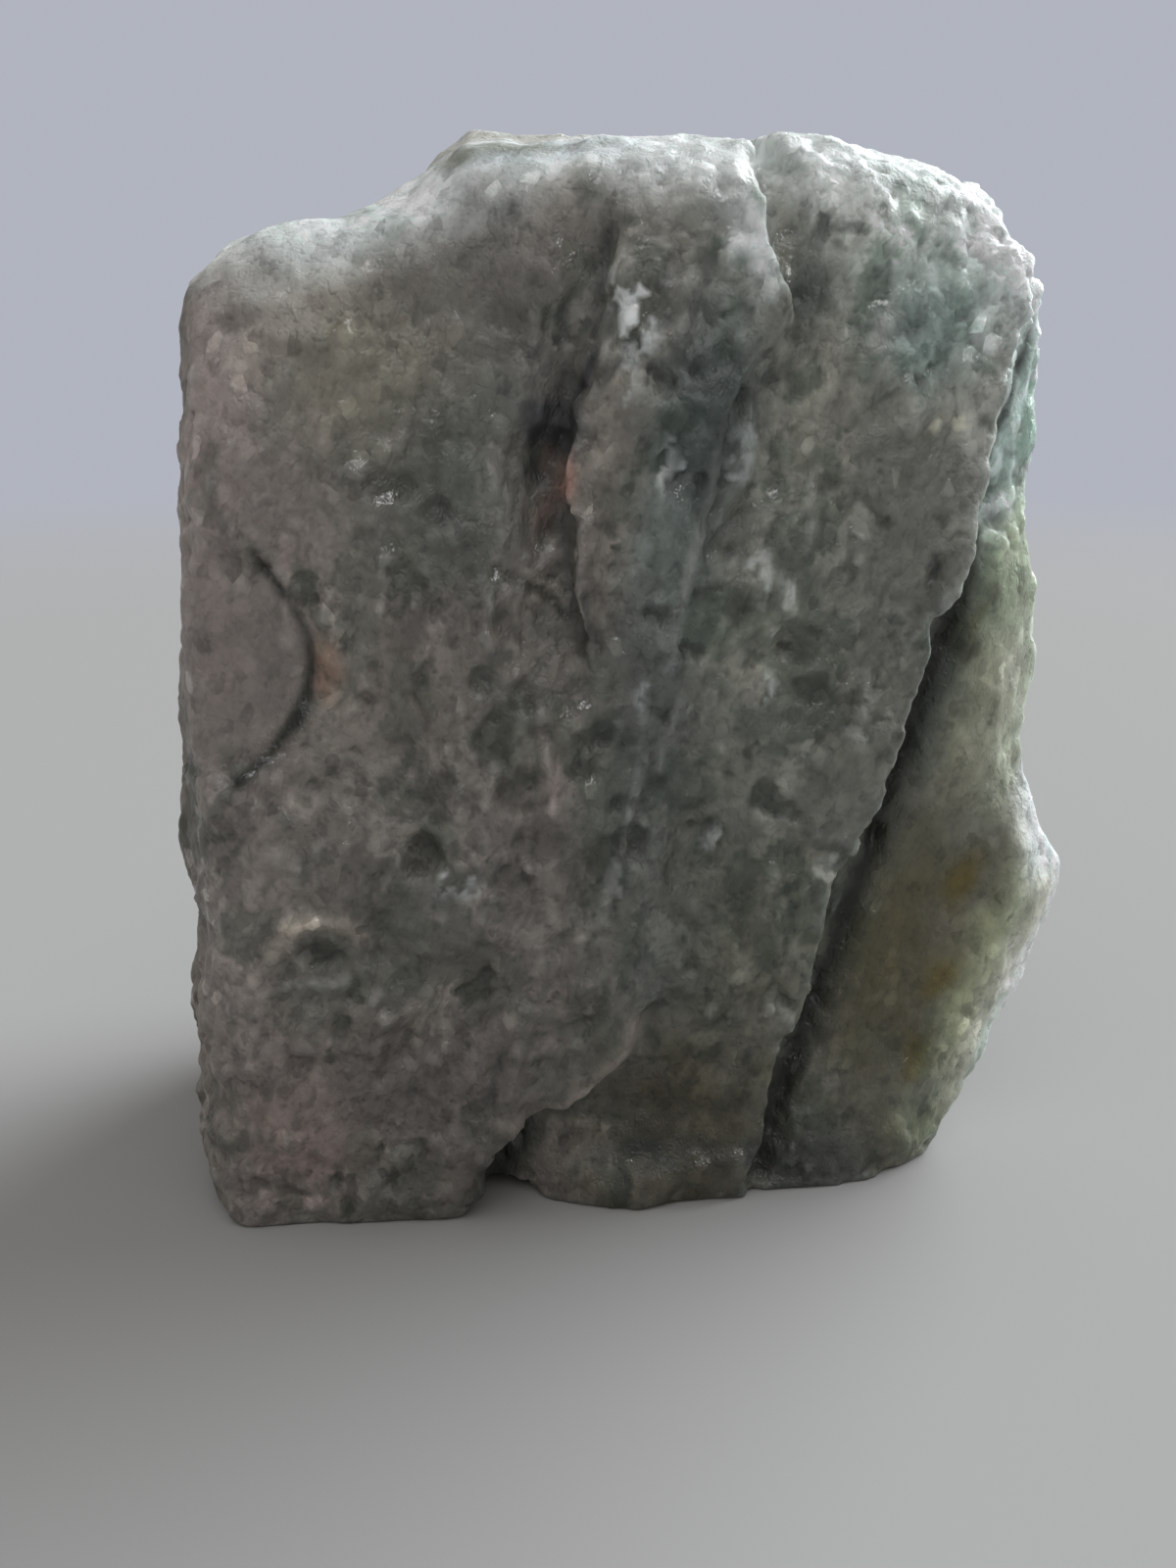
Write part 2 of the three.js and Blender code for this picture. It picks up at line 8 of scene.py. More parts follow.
import bpy
import numpy as np
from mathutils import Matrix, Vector


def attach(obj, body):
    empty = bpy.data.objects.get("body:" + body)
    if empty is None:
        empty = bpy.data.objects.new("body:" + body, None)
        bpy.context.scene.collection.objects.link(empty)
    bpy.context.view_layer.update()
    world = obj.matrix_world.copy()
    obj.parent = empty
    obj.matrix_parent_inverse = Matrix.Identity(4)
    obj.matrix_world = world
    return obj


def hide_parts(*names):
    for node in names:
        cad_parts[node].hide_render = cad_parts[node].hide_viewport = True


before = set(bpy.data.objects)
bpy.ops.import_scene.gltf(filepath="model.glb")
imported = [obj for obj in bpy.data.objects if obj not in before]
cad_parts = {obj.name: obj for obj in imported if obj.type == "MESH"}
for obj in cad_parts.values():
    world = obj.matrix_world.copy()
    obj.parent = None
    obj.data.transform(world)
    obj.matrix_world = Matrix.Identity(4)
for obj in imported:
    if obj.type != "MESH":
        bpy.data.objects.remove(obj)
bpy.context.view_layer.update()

log = logging.getLogger("aventurine")

MM = 0.001
NODE = "aventurine"

Point = tuple[float, float, float]
Colour = tuple[float, float, float]
Setting = str | float | bool | None


# ---------------------------------------------------------------- noise


HASH_PRIMES = (374761393, 668265263, 2246822519, 3266489917)
HASH_MIX = np.uint64(1274126177)
HASH_MASK = np.uint64(2**32 - 1)
HASH_SHIFT = np.uint64(15)
HASH_LAST_SHIFT = np.uint64(16)
HASH_SPAN = 2**32


class Pattern(IntEnum):
    """Numbers that make the noises unlike. A broken noise also takes the few numbers after its own."""

    GRAINS = 10
    LUMPS = 30
    STEPS = 40
    DARK_GRAINS = 50
    DARK_GROUPS = 54
    CUTS = 60
    LAYERS = 61
    WEAR = 62
    CLOSED_CRACKS = 64
    SIDEWAYS = 66
    PAINT_EDGES = 70
    HUES = 80
    DARK_PATCHES = 84
    SHADES = 86
    PALE_PATCHES = 88
    SPECKS = 92
    SPECK_GROUPS = 93
    GLOSS = 94
    MOTTLES = 98
    TORN = 110
    LARGE_GRAINS = 120


AXIS_CHANNELS = 4  # how many numbers the pattern along one axis takes, where each axis has its own


def lattice(i: np.ndarray, j: np.ndarray, k: np.ndarray, channel: int) -> np.ndarray:
    """Gives each corner of a lattice a repeatable number.

    Args:
        i, j, k: whole numbers that name the corners.
        channel: picks one of many unlike sets of numbers.

    Returns:
        Numbers from 0 to 1.
    """
    mixed = np.uint64(channel * HASH_PRIMES[3] % HASH_SPAN)
    for axis, prime in zip((i, j, k), HASH_PRIMES):
        mixed = (mixed + axis.astype(np.int64).astype(np.uint64) * np.uint64(prime)) & HASH_MASK
        mixed = ((mixed ^ (mixed >> HASH_SHIFT)) * HASH_MIX) & HASH_MASK
    return (mixed ^ (mixed >> HASH_LAST_SHIFT)).astype(np.float64) / HASH_SPAN


def waves(points: np.ndarray, size: float, channel: int) -> np.ndarray:
    """Smooth noise.

    Args:
        points: one row for each point, in millimetres.
        size: length of one wave, in millimetres.
        channel: picks the pattern.

    Returns:
        A number from -1 to 1 for each point.
    """
    scaled = points / size
    corner = np.floor(scaled)
    part = scaled - corner
    ease = part * part * (3 - 2 * part)
    total = np.zeros(len(points))
    for di in (0, 1):
        for dj in (0, 1):
            for dk in (0, 1):
                weight = np.prod(np.abs(ease - (1 - np.array((di, dj, dk)))), axis=1)
                total += weight * lattice(corner[:, 0] + di, corner[:, 1] + dj, corner[:, 2] + dk, channel)
    return 2 * total - 1


def broken_waves(points: np.ndarray, size: float, channel: int, octaves: int = 3) -> np.ndarray:
    """Noise with finer and finer waves, each half as high and long as the last, from about -1 to 1."""
    layers = [waves(points, size / 2**n, channel + n) / 2**n for n in range(octaves)]
    return sum(layers) / (2 - 2 ** (1 - octaves))


def drift(points: np.ndarray, size: float, channel: int) -> np.ndarray:
    """Broken waves along each of the three ways, from about -1 to 1."""
    channels = [channel + AXIS_CHANNELS * axis for axis in range(3)]
    return np.stack([broken_waves(points, size, own) for own in channels], axis=1)


@dataclass(frozen=True)
class Grains:
    """How points lie among the grains of a rock. Each field holds one number for each point.

    Attributes:
        reach: distance from the grain's middle, where 1 is the size of a grain.
        facet: height of the grain's own tilted flat face, from about -1 to 1.
        shade: a number from 0 to 1 for each grain.
    """

    reach: np.ndarray
    facet: np.ndarray
    shade: np.ndarray


def grains(points: np.ndarray, size: float, channel: int) -> Grains:
    """Packs space with grains of one size and finds the grain that each point is in.

    Args:
        points: one row for each point, in millimetres.
        size: size of a grain, in millimetres.
        channel: picks the pattern.

    Returns:
        How the points lie among the grains.
    """
    scaled = points / size
    corner = np.floor(scaled)
    nearest = np.full(len(points), np.inf)
    facet = np.zeros(len(points))
    shade = np.zeros(len(points))
    for di in (-1, 0, 1):
        for dj in (-1, 0, 1):
            for dk in (-1, 0, 1):
                i, j, k = corner[:, 0] + di, corner[:, 1] + dj, corner[:, 2] + dk
                jitter = np.stack([lattice(i, j, k, channel + n) for n in range(3)], axis=1)
                away = scaled - np.stack([i, j, k], axis=1) - jitter
                reach = np.sqrt((away * away).sum(axis=1))
                nearer = reach < nearest
                tilt = 2 * jitter[:, [1, 2, 0]] - 1
                lift = FACET_LIFT * (jitter[:, 0] - 0.5)
                facet = np.where(nearer, (tilt * away).sum(axis=1) + lift, facet)
                shade = np.where(nearer, jitter[:, 1], shade)
                nearest = np.minimum(nearest, reach)
    return Grains(nearest, facet, shade)


def ramp(values: np.ndarray, low: float, high: float) -> np.ndarray:
    """Rises smoothly from 0 at low to 1 at high, or falls if high is less than low."""
    part = np.clip((values - low) / (high - low), 0, 1)
    return part * part * (3 - 2 * part)


def terraces(values: np.ndarray, count: float) -> np.ndarray:
    """Turns smooth values into flat steps with steep rises between them.

    Args:
        values: from about -1 to 1.
        count: steps in a rise of 1.

    Returns:
        The stepped values.
    """
    level = values * count
    step = np.floor(level)
    return (step + ramp(level - step, TREAD, 1.0)) / count


def blend(base: np.ndarray, other: np.ndarray | Colour, share: np.ndarray,
          strength: float = 1.0) -> np.ndarray:
    """Mixes rows of numbers, such as colours, by strength times each point's share of the other."""
    return base + (np.asarray(other) - base) * (strength * share)[:, None]


@dataclass(frozen=True)
class Patches:
    """Soft patches of one size, spread over the whole rock by noise.

    Attributes:
        pattern: picks the noise.
        size: of the patches, in millimetres.
        low, high: values of the noise between which a patch fades in.
        octaves: how often the noise is broken up finer.
    """

    pattern: Pattern
    size: float
    low: float
    high: float
    octaves: int = 3

    def share(self, points: np.ndarray) -> np.ndarray:
        """How much each point is in a patch, from 0 to 1."""
        return ramp(broken_waves(points, self.size, self.pattern, self.octaves), self.low, self.high)


# ---------------------------------------------------------------- how the rock broke


LAYER_LEAN = math.radians(15)  # the rock's layers lean to the right of upright

# How much longer grains, coloured patches and broken steps are along the layers than across them.
GRAIN_STRETCH = np.array([1.0, 1.0, 1.3])
PATCH_STRETCH = np.array([1.0, 1.0, 1.5])
STEP_STRETCH = np.array([1.0, 1.0, 2.4])

TREAD = 0.62  # share of a broken step that is flat
FACET_LIFT = 0.5  # how unlike in height the flat faces of the grains are
GRAIN_STEEPNESS = 1.5  # of a grain's sides
GRAIN_LEVEL = 0.55  # share of its size at which a grain is level with the rest


@dataclass(frozen=True)
class Relief:
    """How high each kind of roughness stands on a broken face, in millimetres."""

    lumps: float
    steps: float
    grains: float
    facets: float
    pits: float

    def values(self) -> np.ndarray:
        """The heights in the order of the fields."""
        return np.array([self.lumps, self.steps, self.grains, self.facets, self.pits])


class Fracture(Enum):
    """The ways in which the rock broke."""

    SUGARY = Relief(lumps=0.42, steps=0.72, grains=0.28, facets=0.2, pits=0.45)
    FOLIATED = Relief(lumps=0.35, steps=0.8, grains=0.26, facets=0.18, pits=0.4)
    CLEAVED = Relief(lumps=0.3, steps=0.15, grains=0.08, facets=0.04, pits=0.0)
    CRYSTALLINE = Relief(lumps=0.45, steps=0.4, grains=0.15, facets=0.5, pits=0.1)
    WORN = Relief(lumps=0.35, steps=0.12, grains=0.07, facets=0.04, pits=0.0)


EDGE_WANDER = 0.25  # share of its radius by which a place's edge wanders


@dataclass(frozen=True)
class Place:
    """A soft-edged oval part of the stone, in millimetres.

    Attributes:
        centre: its middle.
        radii: half its size along X, Y and its own long way, which leans with lean.
        lean: degrees that its long way leans to the right of upright.
        edge: share of the radius over which it fades.
    """

    centre: Point
    radii: Point
    lean: float = 0.0
    edge: float = 0.45

    def share(self, points: np.ndarray, ragged: np.ndarray) -> np.ndarray:
        """How much each point is inside.

        Args:
            points: one row for each point, in millimetres.
            ragged: noise that breaks up the edge.

        Returns:
            A number from 0 to 1 for each point.
        """
        x, y, z = (points - np.array(self.centre)).T
        turn = math.radians(self.lean)
        across = x * math.cos(turn) - z * math.sin(turn)
        along = x * math.sin(turn) + z * math.cos(turn)
        rx, ry, rz = self.radii
        reach = np.sqrt((across / rx) ** 2 + (y / ry) ** 2 + (along / rz) ** 2) + EDGE_WANDER * ragged
        return ramp(reach, 1 + self.edge / 2, 1 - self.edge)


@dataclass(frozen=True)
class BrokenPart:
    """A part of the skin that broke in its own way."""

    fracture: Fracture
    place: Place


BROKEN_PARTS = (
    BrokenPart(Fracture.FOLIATED, Place((17, -21, 52), (13, 7, 42), 15)),
    BrokenPart(Fracture.FOLIATED, Place((-2, 24, 46), (12, 9, 50), -14)),
    BrokenPart(Fracture.FOLIATED, Place((28, 18, 46), (16, 12, 44), 8)),
    BrokenPart(Fracture.CLEAVED, Place((-35, -19, 50.5), (8, 4, 9.5), -8, 0.25)),
    BrokenPart(Fracture.CLEAVED, Place((2, -21, 7), (12, 5, 12), 25, 0.3)),
    BrokenPart(Fracture.CLEAVED, Place((27, -17, 30), (8, 8, 42), 15, 0.3)),
    BrokenPart(Fracture.CLEAVED, Place((-38, 2, 18), (6, 16, 22), 0, 0.4)),
    BrokenPart(Fracture.CLEAVED, Place((40, 8, 60), (7, 16, 22), 6, 0.4)),
    BrokenPart(Fracture.WORN, Place((-6, 0, 88), (34, 20, 8))),
    BrokenPart(Fracture.WORN, Place((-22, -17, 82), (24, 9, 7), -8)),
    BrokenPart(Fracture.WORN, Place((40, -12, 30), (7, 12, 34))),
    BrokenPart(Fracture.CRYSTALLINE, Place((29, -17, 81), (8, 12, 10))),
    BrokenPart(Fracture.CRYSTALLINE, Place((-24, 20, 70), (9, 10, 14))),
)

# Where the edges of ledges have worn away or were never sharp.
WORN_EDGES = (
    Place((12, -20, 73.5), (5.5, 7, 6.5), 0, 0.8),
    Place((5.5, -21, 62), (4, 6, 9), 12, 0.8),
    Place((-1, -21, 42), (4, 6, 18), 12, 0.6),
    Place((29.5, -17, 67), (3.5, 7, 9), 12, 0.8),
    Place((-17, -17, 84.5), (14, 8, 4.5), -10, 0.8),
)

# Where the rock is clear and even, with few dark grains.
CLEAR_PARTS = (
    Place((34, -13, 40), (9, 12, 34), 8, 0.6),
    Place((-28, -20, 76), (16, 9, 12), -10, 0.9),
    Place((-35, -20, 52), (6, 6, 9), 0, 0.6),
    Place((29, -15, 81), (9, 12, 9), 0, 0.8),
    Place((0, -8, 92), (44, 22, 9), 0, 0.5),
    Place((26, -16, 30), (5.5, 6, 34), 15, 0.6),
)


# ---------------------------------------------------------------- colours


class Tint(Enum):
    """Colours of the rock, of what stains it, and of the light and shade painted on it, as linear red, green
    and blue.
    """

    GREEN_GREY = (0.195, 0.197, 0.172)
    WARM_GREY = (0.22, 0.2, 0.178)
    MAUVE = (0.34, 0.285, 0.268)
    PALE_GREY = (0.4, 0.405, 0.38)
    SLATE_GREEN = (0.125, 0.15, 0.138)
    OLIVE = (0.17, 0.165, 0.11)
    DARK_GREEN = (0.045, 0.055, 0.045)
    BLACK_GREEN = (0.015, 0.018, 0.012)
    BLUE_BLACK = (0.035, 0.037, 0.043)
    AQUA = (0.58, 0.72, 0.67)
    TEAL = (0.2, 0.28, 0.25)
    YELLOW_GREEN = (0.51, 0.565, 0.42)
    CREAM = (0.52, 0.52, 0.42)
    BEIGE = (0.34, 0.3, 0.26)
    WHITE = (0.78, 0.82, 0.82)
    RUST = (0.36, 0.21, 0.17)
    ORANGE = (0.34, 0.2, 0.13)
    BROWN = (0.12, 0.11, 0.05)
    OCHRE = (0.14, 0.11, 0.02)
    TAUPE = (0.104, 0.092, 0.046)


DARK_PATCH = (0.55, 0.63, 0.58)  # what a dark green patch multiplies the colour that it is in by
PALE_PATCH = 1.5  # the same for a pale patch, which gets no lighter than white


@dataclass(frozen=True)
class ColourPatch:
    """A soft patch of one colour: a stain, or painted light or shade."""

    tint: Tint
    strength: float
    place: Place


FRONT_Y = -22  # of the front face, in millimetres
FRONT_REACH = 5  # depth over which a small patch of the front fades, in millimetres
FRONT_LEAN = 12  # degrees that it leans to the right of upright
FRONT_EDGE = 0.4  # share of its radius over which its outline fades

CRYSTAL_RADII = (1.0, FRONT_REACH, 1.4)
CRYSTAL_WHITENESS = 0.42
PIT_BREADTH = 1.2  # how many times as wide as high a dark pit is

# Bright crystals in the front face, as x and z in millimetres.
CRYSTALS = (
    (-2.7, 79.7), (-2, 77.6), (-1, 78.8), (-1.9, 74.2), (-1.1, 75.6), (-3.3, 71.6), (0.3, 66.9),
    (9, 56.9), (10.2, 56), (7.6, 58.4), (17, 47.1), (16.6, 45.6), (8.6, 48.4), (6.4, 68.6), (6, 66),
    (14.8, 33.1), (-1.7, 48.5), (-17.6, 33), (-15.6, 32.8), (-3.3, 32.6), (5.3, 35.7),
)

# Dark pits in the front face, as x, z and half their height in millimetres.
DARK_PITS = (
    (-16.8, 63.1, 1.3), (-20.4, 64.5, 1.6), (-23.2, 48.3, 0.8), (-7.4, 61.2, 1.1), (-11.7, 54.5, 2.2),
    (-10.8, 48.5, 1.3), (-5.3, 45.1, 1.3), (-9.3, 45.2, 0.8), (-6.5, 42.2, 1.4), (-10.9, 40.7, 2.2),
    (-9.6, 36.6, 1.9), (-2.8, 39.4, 1.1), (-5.1, 34, 2.4), (-1.4, 35.7, 1.7), (-12.1, 33, 1.4),
    (-19.5, 35.6, 1.5), (-28.4, 27.4, 1.2), (2, 64.6, 1.3), (3.5, 56.6, 0.9), (-0.2, 54.4, 0.7),
    (2.5, 51.8, 0.9), (6, 55.5, 1.6), (11.4, 52.5, 1.6), (12.8, 48.6, 1.4), (12.4, 64.4, 1.2),
)

PITS = tuple(
    Place((x, FRONT_Y, z), (PIT_BREADTH * half, FRONT_REACH, half), FRONT_LEAN, FRONT_EDGE)
    for x, z, half in DARK_PITS
)

# Stains of the rock, with some patches of painted shadow and painted light among them.
STAINS_AND_PAINTED_LIGHT = (
    # Left of the crack: mauve at the edge and the corners, green and olive in the middle.
    ColourPatch(Tint.MAUVE, 0.75, Place((-36, -22, 66), (9, 9, 24), 0, 0.9)),
    ColourPatch(Tint.MAUVE, 0.42, Place((-35, -22, 22), (7, 9, 26), 0, 0.9)),
    ColourPatch(Tint.MAUVE, 0.28, Place((-28, -22, 4), (14, 8, 7), 0, 0.9)),
    ColourPatch(Tint.OLIVE, 0.36, Place((-20, -21, 73), (9, 8, 7), 0, 0.9)),
    ColourPatch(Tint.SLATE_GREEN, 0.45, Place((-14, -21, 66), (7, 6, 9), 10, 0.9)),
    ColourPatch(Tint.SLATE_GREEN, 0.22, Place((-16, -21, 30), (12, 6, 12), 10, 0.9)),
    # The hollow beside the crack: blue-black painted shadow in it, and a rust stain.
    ColourPatch(Tint.BLUE_BLACK, 0.85, Place((-7.8, -18.5, 69), (3.0, 5, 2.6), 10, 0.5)),
    ColourPatch(Tint.BLUE_BLACK, 0.35, Place((-8.6, -18.5, 73), (4, 6, 6), 10, 0.9)),
    ColourPatch(Tint.BLUE_BLACK, 0.6, Place((-9.8, -18.5, 65.6), (1.5, 4, 1.8), 0, 0.6)),
    ColourPatch(Tint.RUST, 0.9, Place((-7.9, -20, 64.6), (1.5, 5, 3.6), 8, 0.6)),
    # Band between the crack and the seam: a beige rim, and blue-green in its middle.
    ColourPatch(Tint.SLATE_GREEN, 0.9, Place((2.2, -22, 66), (5, 5, 15), 12, 0.8)),
    ColourPatch(Tint.SLATE_GREEN, 0.4, Place((-1, -22, 45), (5, 5, 14), 12, 0.9)),
    ColourPatch(Tint.BEIGE, 0.5, Place((-4.8, -22, 62.5), (2.3, 5, 10), 4, 0.7)),
    # The seam where it reaches the top.
    ColourPatch(Tint.OLIVE, 0.7, Place((8.4, -19.5, 84), (1.6, 7, 6), -14, 0.6)),
    ColourPatch(Tint.DARK_GREEN, 0.75, Place((11, -19.6, 78.4), (2.3, 5, 2.6), 0, 0.7)),
    ColourPatch(Tint.WHITE, 0.75, Place((7, -21, 82), (2.2, 6, 4.6), -8, 0.8)),
    # Right of the seam.
    ColourPatch(Tint.AQUA, 0.3, Place((21, -20, 81), (9, 6, 6), 0, 0.9)),
    ColourPatch(Tint.TEAL, 0.6, Place((20.5, -20.2, 76), (4.5, 5, 5), 15, 0.9)),
    ColourPatch(Tint.PALE_GREY, 0.4, Place((19, -19, 84), (10, 7, 4.5), 0, 0.9)),
    ColourPatch(Tint.PALE_GREY, 0.4, Place((16.6, -21, 77), (1.1, 4, 5), 10, 0.7)),
    ColourPatch(Tint.PALE_GREY, 0.4, Place((25, -21, 70), (3, 5, 9), 14, 0.9)),
    ColourPatch(Tint.OLIVE, 0.5, Place((10, -21, 24), (8, 5, 12), 15, 0.9)),
    ColourPatch(Tint.TAUPE, 0.85, Place((3.5, -20, 7), (10.5, 6, 12), 30, 0.7)),
    # The long ledge and the rim on its right.
    ColourPatch(Tint.AQUA, 0.95, Place((30.8, -14, 68), (4, 9, 10), 8, 0.6)),
    ColourPatch(Tint.YELLOW_GREEN, 0.85, Place((33, -13.5, 57), (5.5, 8, 8), 8, 0.9)),
    ColourPatch(Tint.YELLOW_GREEN, 0.8, Place((34, -13, 46), (6, 8, 12), 8, 0.9)),
    ColourPatch(Tint.CREAM, 0.8, Place((30.5, -15.3, 44), (4.5, 7, 8), 12, 0.8)),
    ColourPatch(Tint.BROWN, 0.5, Place((28.5, -16.3, 52.5), (0.9, 4, 4.4), 20, 0.7)),
    ColourPatch(Tint.TAUPE, 0.85, Place((22.5, -17, 21), (6, 7, 18), 15, 0.8)),
    ColourPatch(Tint.OCHRE, 0.85, Place((29.8, -16, 29.3), (2, 5, 3.6), 15, 0.8)),
    ColourPatch(Tint.OCHRE, 0.85, Place((28.2, -16.7, 19.5), (2, 5, 3.4), 15, 0.8)),
    ColourPatch(Tint.OCHRE, 0.8, Place((26.3, -17.9, 12), (1.8, 5, 2.8), 15, 0.8)),
    ColourPatch(Tint.YELLOW_GREEN, 0.9, Place((34.2, -14, 19), (4.8, 10, 17), 18, 0.7)),
    # White on the bulge and on the rim under it: pale rock, with painted light from behind glowing through
    # the thin rim.
    ColourPatch(Tint.WHITE, 0.95, Place((39.5, -12.5, 33), (5, 9, 7.5), 0, 0.7)),
    ColourPatch(Tint.WHITE, 0.95, Place((38, -12.5, 17), (4.4, 10, 18), 22, 0.7)),
    ColourPatch(Tint.CREAM, 0.35, Place((37.5, -11, 14), (4.5, 9, 17), 22, 0.8)),
    ColourPatch(Tint.TEAL, 0.4, Place((27.5, -17, 5), (4, 6, 5), 0, 0.8)),
    # Painted shade along the foot, where the rock meets the ground.
    ColourPatch(Tint.BLUE_BLACK, 0.6, Place((17, -20, 2.5), (8, 6, 4), 0, 0.8)),
    ColourPatch(Tint.WHITE, 0.9, Place((28.5, -18, 82), (6.5, 12, 7), -20, 0.8)),
    # Painted shadow under the overhanging lip.
    ColourPatch(Tint.BLACK_GREEN, 0.9, Place((-14, -18, 4), (3.4, 9, 5.5), 15, 0.6)),
    ColourPatch(Tint.MAUVE, 0.6, Place((-8.5, -22.3, 41.6), (1.2, 4, 3), 5, 0.6)),
    # The scar on the left edge.
    ColourPatch(Tint.ORANGE, 0.6, Place((-26.2, -20.6, 51.2), (1.3, 4, 3), -5, 0.8)),
    ColourPatch(Tint.BLACK_GREEN, 0.8, Place((-28.8, -20.7, 47), (0.8, 4, 1.5), 20, 0.6)),
    ColourPatch(Tint.MAUVE, 0.2, Place((-34.5, -19.8, 53), (5, 5, 8), 0, 0.8)),
    # The top, the back and the sides.
    # Whiter along the top bevel and the top: painted light from above.
    ColourPatch(Tint.WHITE, 0.6, Place((-18, -13.5, 84.5), (22, 6, 4.5), -10, 0.6)),
    ColourPatch(Tint.WHITE, 0.45, Place((14, -14, 88), (26, 12, 4.5), 0, 0.9)),
    ColourPatch(Tint.OCHRE, 0.3, Place((-10, -8, 90), (9, 3, 3), 0, 0.8)),
    ColourPatch(Tint.SLATE_GREEN, 0.6, Place((-4, 8, 92), (22, 9, 5), 0, 0.9)),
    ColourPatch(Tint.OLIVE, 0.75, Place((-12, -14.5, 88.6), (9, 2.4, 1.6), 0, 0.6)),
    ColourPatch(Tint.AQUA, 0.35, Place((14, 8, 88), (18, 12, 6), 0, 0.9)),
    ColourPatch(Tint.AQUA, 0.5, Place((42, 6, 58), (7, 20, 26), 0, 0.9)),
    ColourPatch(Tint.TEAL, 0.5, Place((24, 22, 60), (14, 8, 24), 10, 0.9)),
    ColourPatch(Tint.MAUVE, 0.6, Place((-26, 20, 40), (14, 8, 22), -10, 0.9)),
    ColourPatch(Tint.YELLOW_GREEN, 0.35, Place((6, 24, 24), (12, 8, 18), -12, 0.9)),
    ColourPatch(Tint.CREAM, 0.4, Place((-38, 0, 62), (6, 14, 16), 0, 0.9)),
    ColourPatch(Tint.OCHRE, 0.35, Place((-38, 6, 30), (6, 8, 5), 0, 0.8)),
    ColourPatch(Tint.RUST, 0.25, Place((12, 22, 72), (3, 8, 9), 12, 0.8)),
)

# Small patches with sharper edges.
SPOTS = (
    *(ColourPatch(Tint.WHITE, CRYSTAL_WHITENESS, Place((x, FRONT_Y, z), CRYSTAL_RADII, FRONT_LEAN, FRONT_EDGE))
      for x, z in CRYSTALS),
    ColourPatch(Tint.CREAM, 0.4, Place((14.8, -22.1, 33.3), (2.2, 5, 1.2), 40, 0.5)),
    ColourPatch(Tint.CREAM, 0.9, Place((22.1, -21.2, 68.8), (1.7, 5, 1.2), 0, 0.3)),
    ColourPatch(Tint.WHITE, 0.6, Place((1, -22.3, 65.2), (1.3, 5, 1.5), 0, 0.4)),
    ColourPatch(Tint.PALE_GREY, 0.75, Place((-1.9, -22, 77.3), (2.5, 5, 5.4), 4, 0.5)),
    ColourPatch(Tint.WHITE, 0.75, Place((-1.9, -22, 77.4), (2, 5, 4.4), 6, 0.7)),
)


CRACK_WANDER_MM = 0.45  # how far a crack wanders from its path
FRONT_FROM_Y = (-6, -10)  # between these, in millimetres, cracks fade in towards the front
CLOSED_PARTS = Patches(Pattern.CLOSED_CRACKS, 3.6, -0.1, 0.35)


@dataclass(frozen=True)
class Crack:
    """A line cut into the front of the stone, or a low ridge on it.

    Attributes:
        path: the x and z of its points, in millimetres.
        width: how far from its middle the cut fades, in millimetres.
        depth: of the cut, in millimetres, less than 0 for a ridge.
        tint: colour at its bottom; at the foot of the long ledge it is painted shadow, and on the rim under
            the bulge painted light.
        strength: of that colour.
        gaps: share of its length where it has closed.
    """

    path: tuple[tuple[float, float], ...]
    width: float
    depth: float
    tint: Tint
    strength: float
    gaps: float = 0.3

    def share(self, points: np.ndarray, ragged: np.ndarray) -> np.ndarray:
        """How near each point is to the middle of the crack.

        Args:
            points: one row for each point, in millimetres.
            ragged: noise that bends the crack.

        Returns:
            A number from 0 to 1 for each point, which is 0 everywhere but in the front.
        """
        x = points[:, 0] + CRACK_WANDER_MM * ragged
        z = points[:, 2] + CRACK_WANDER_MM * ragged
        nearest = np.full(len(points), np.inf)
        for (x0, z0), (x1, z1) in zip(self.path, self.path[1:]):
            run = (x1 - x0) ** 2 + (z1 - z0) ** 2
            part = np.clip(((x - x0) * (x1 - x0) + (z - z0) * (z1 - z0)) / run, 0, 1)
            nearest = np.minimum(nearest, np.hypot(x - x0 - part * (x1 - x0), z - z0 - part * (z1 - z0)))
        open_share = 1 - self.gaps * CLOSED_PARTS.share(points)
        return np.exp(-((nearest / self.width) ** 2)) * open_share * ramp(points[:, 1], *FRONT_FROM_Y)


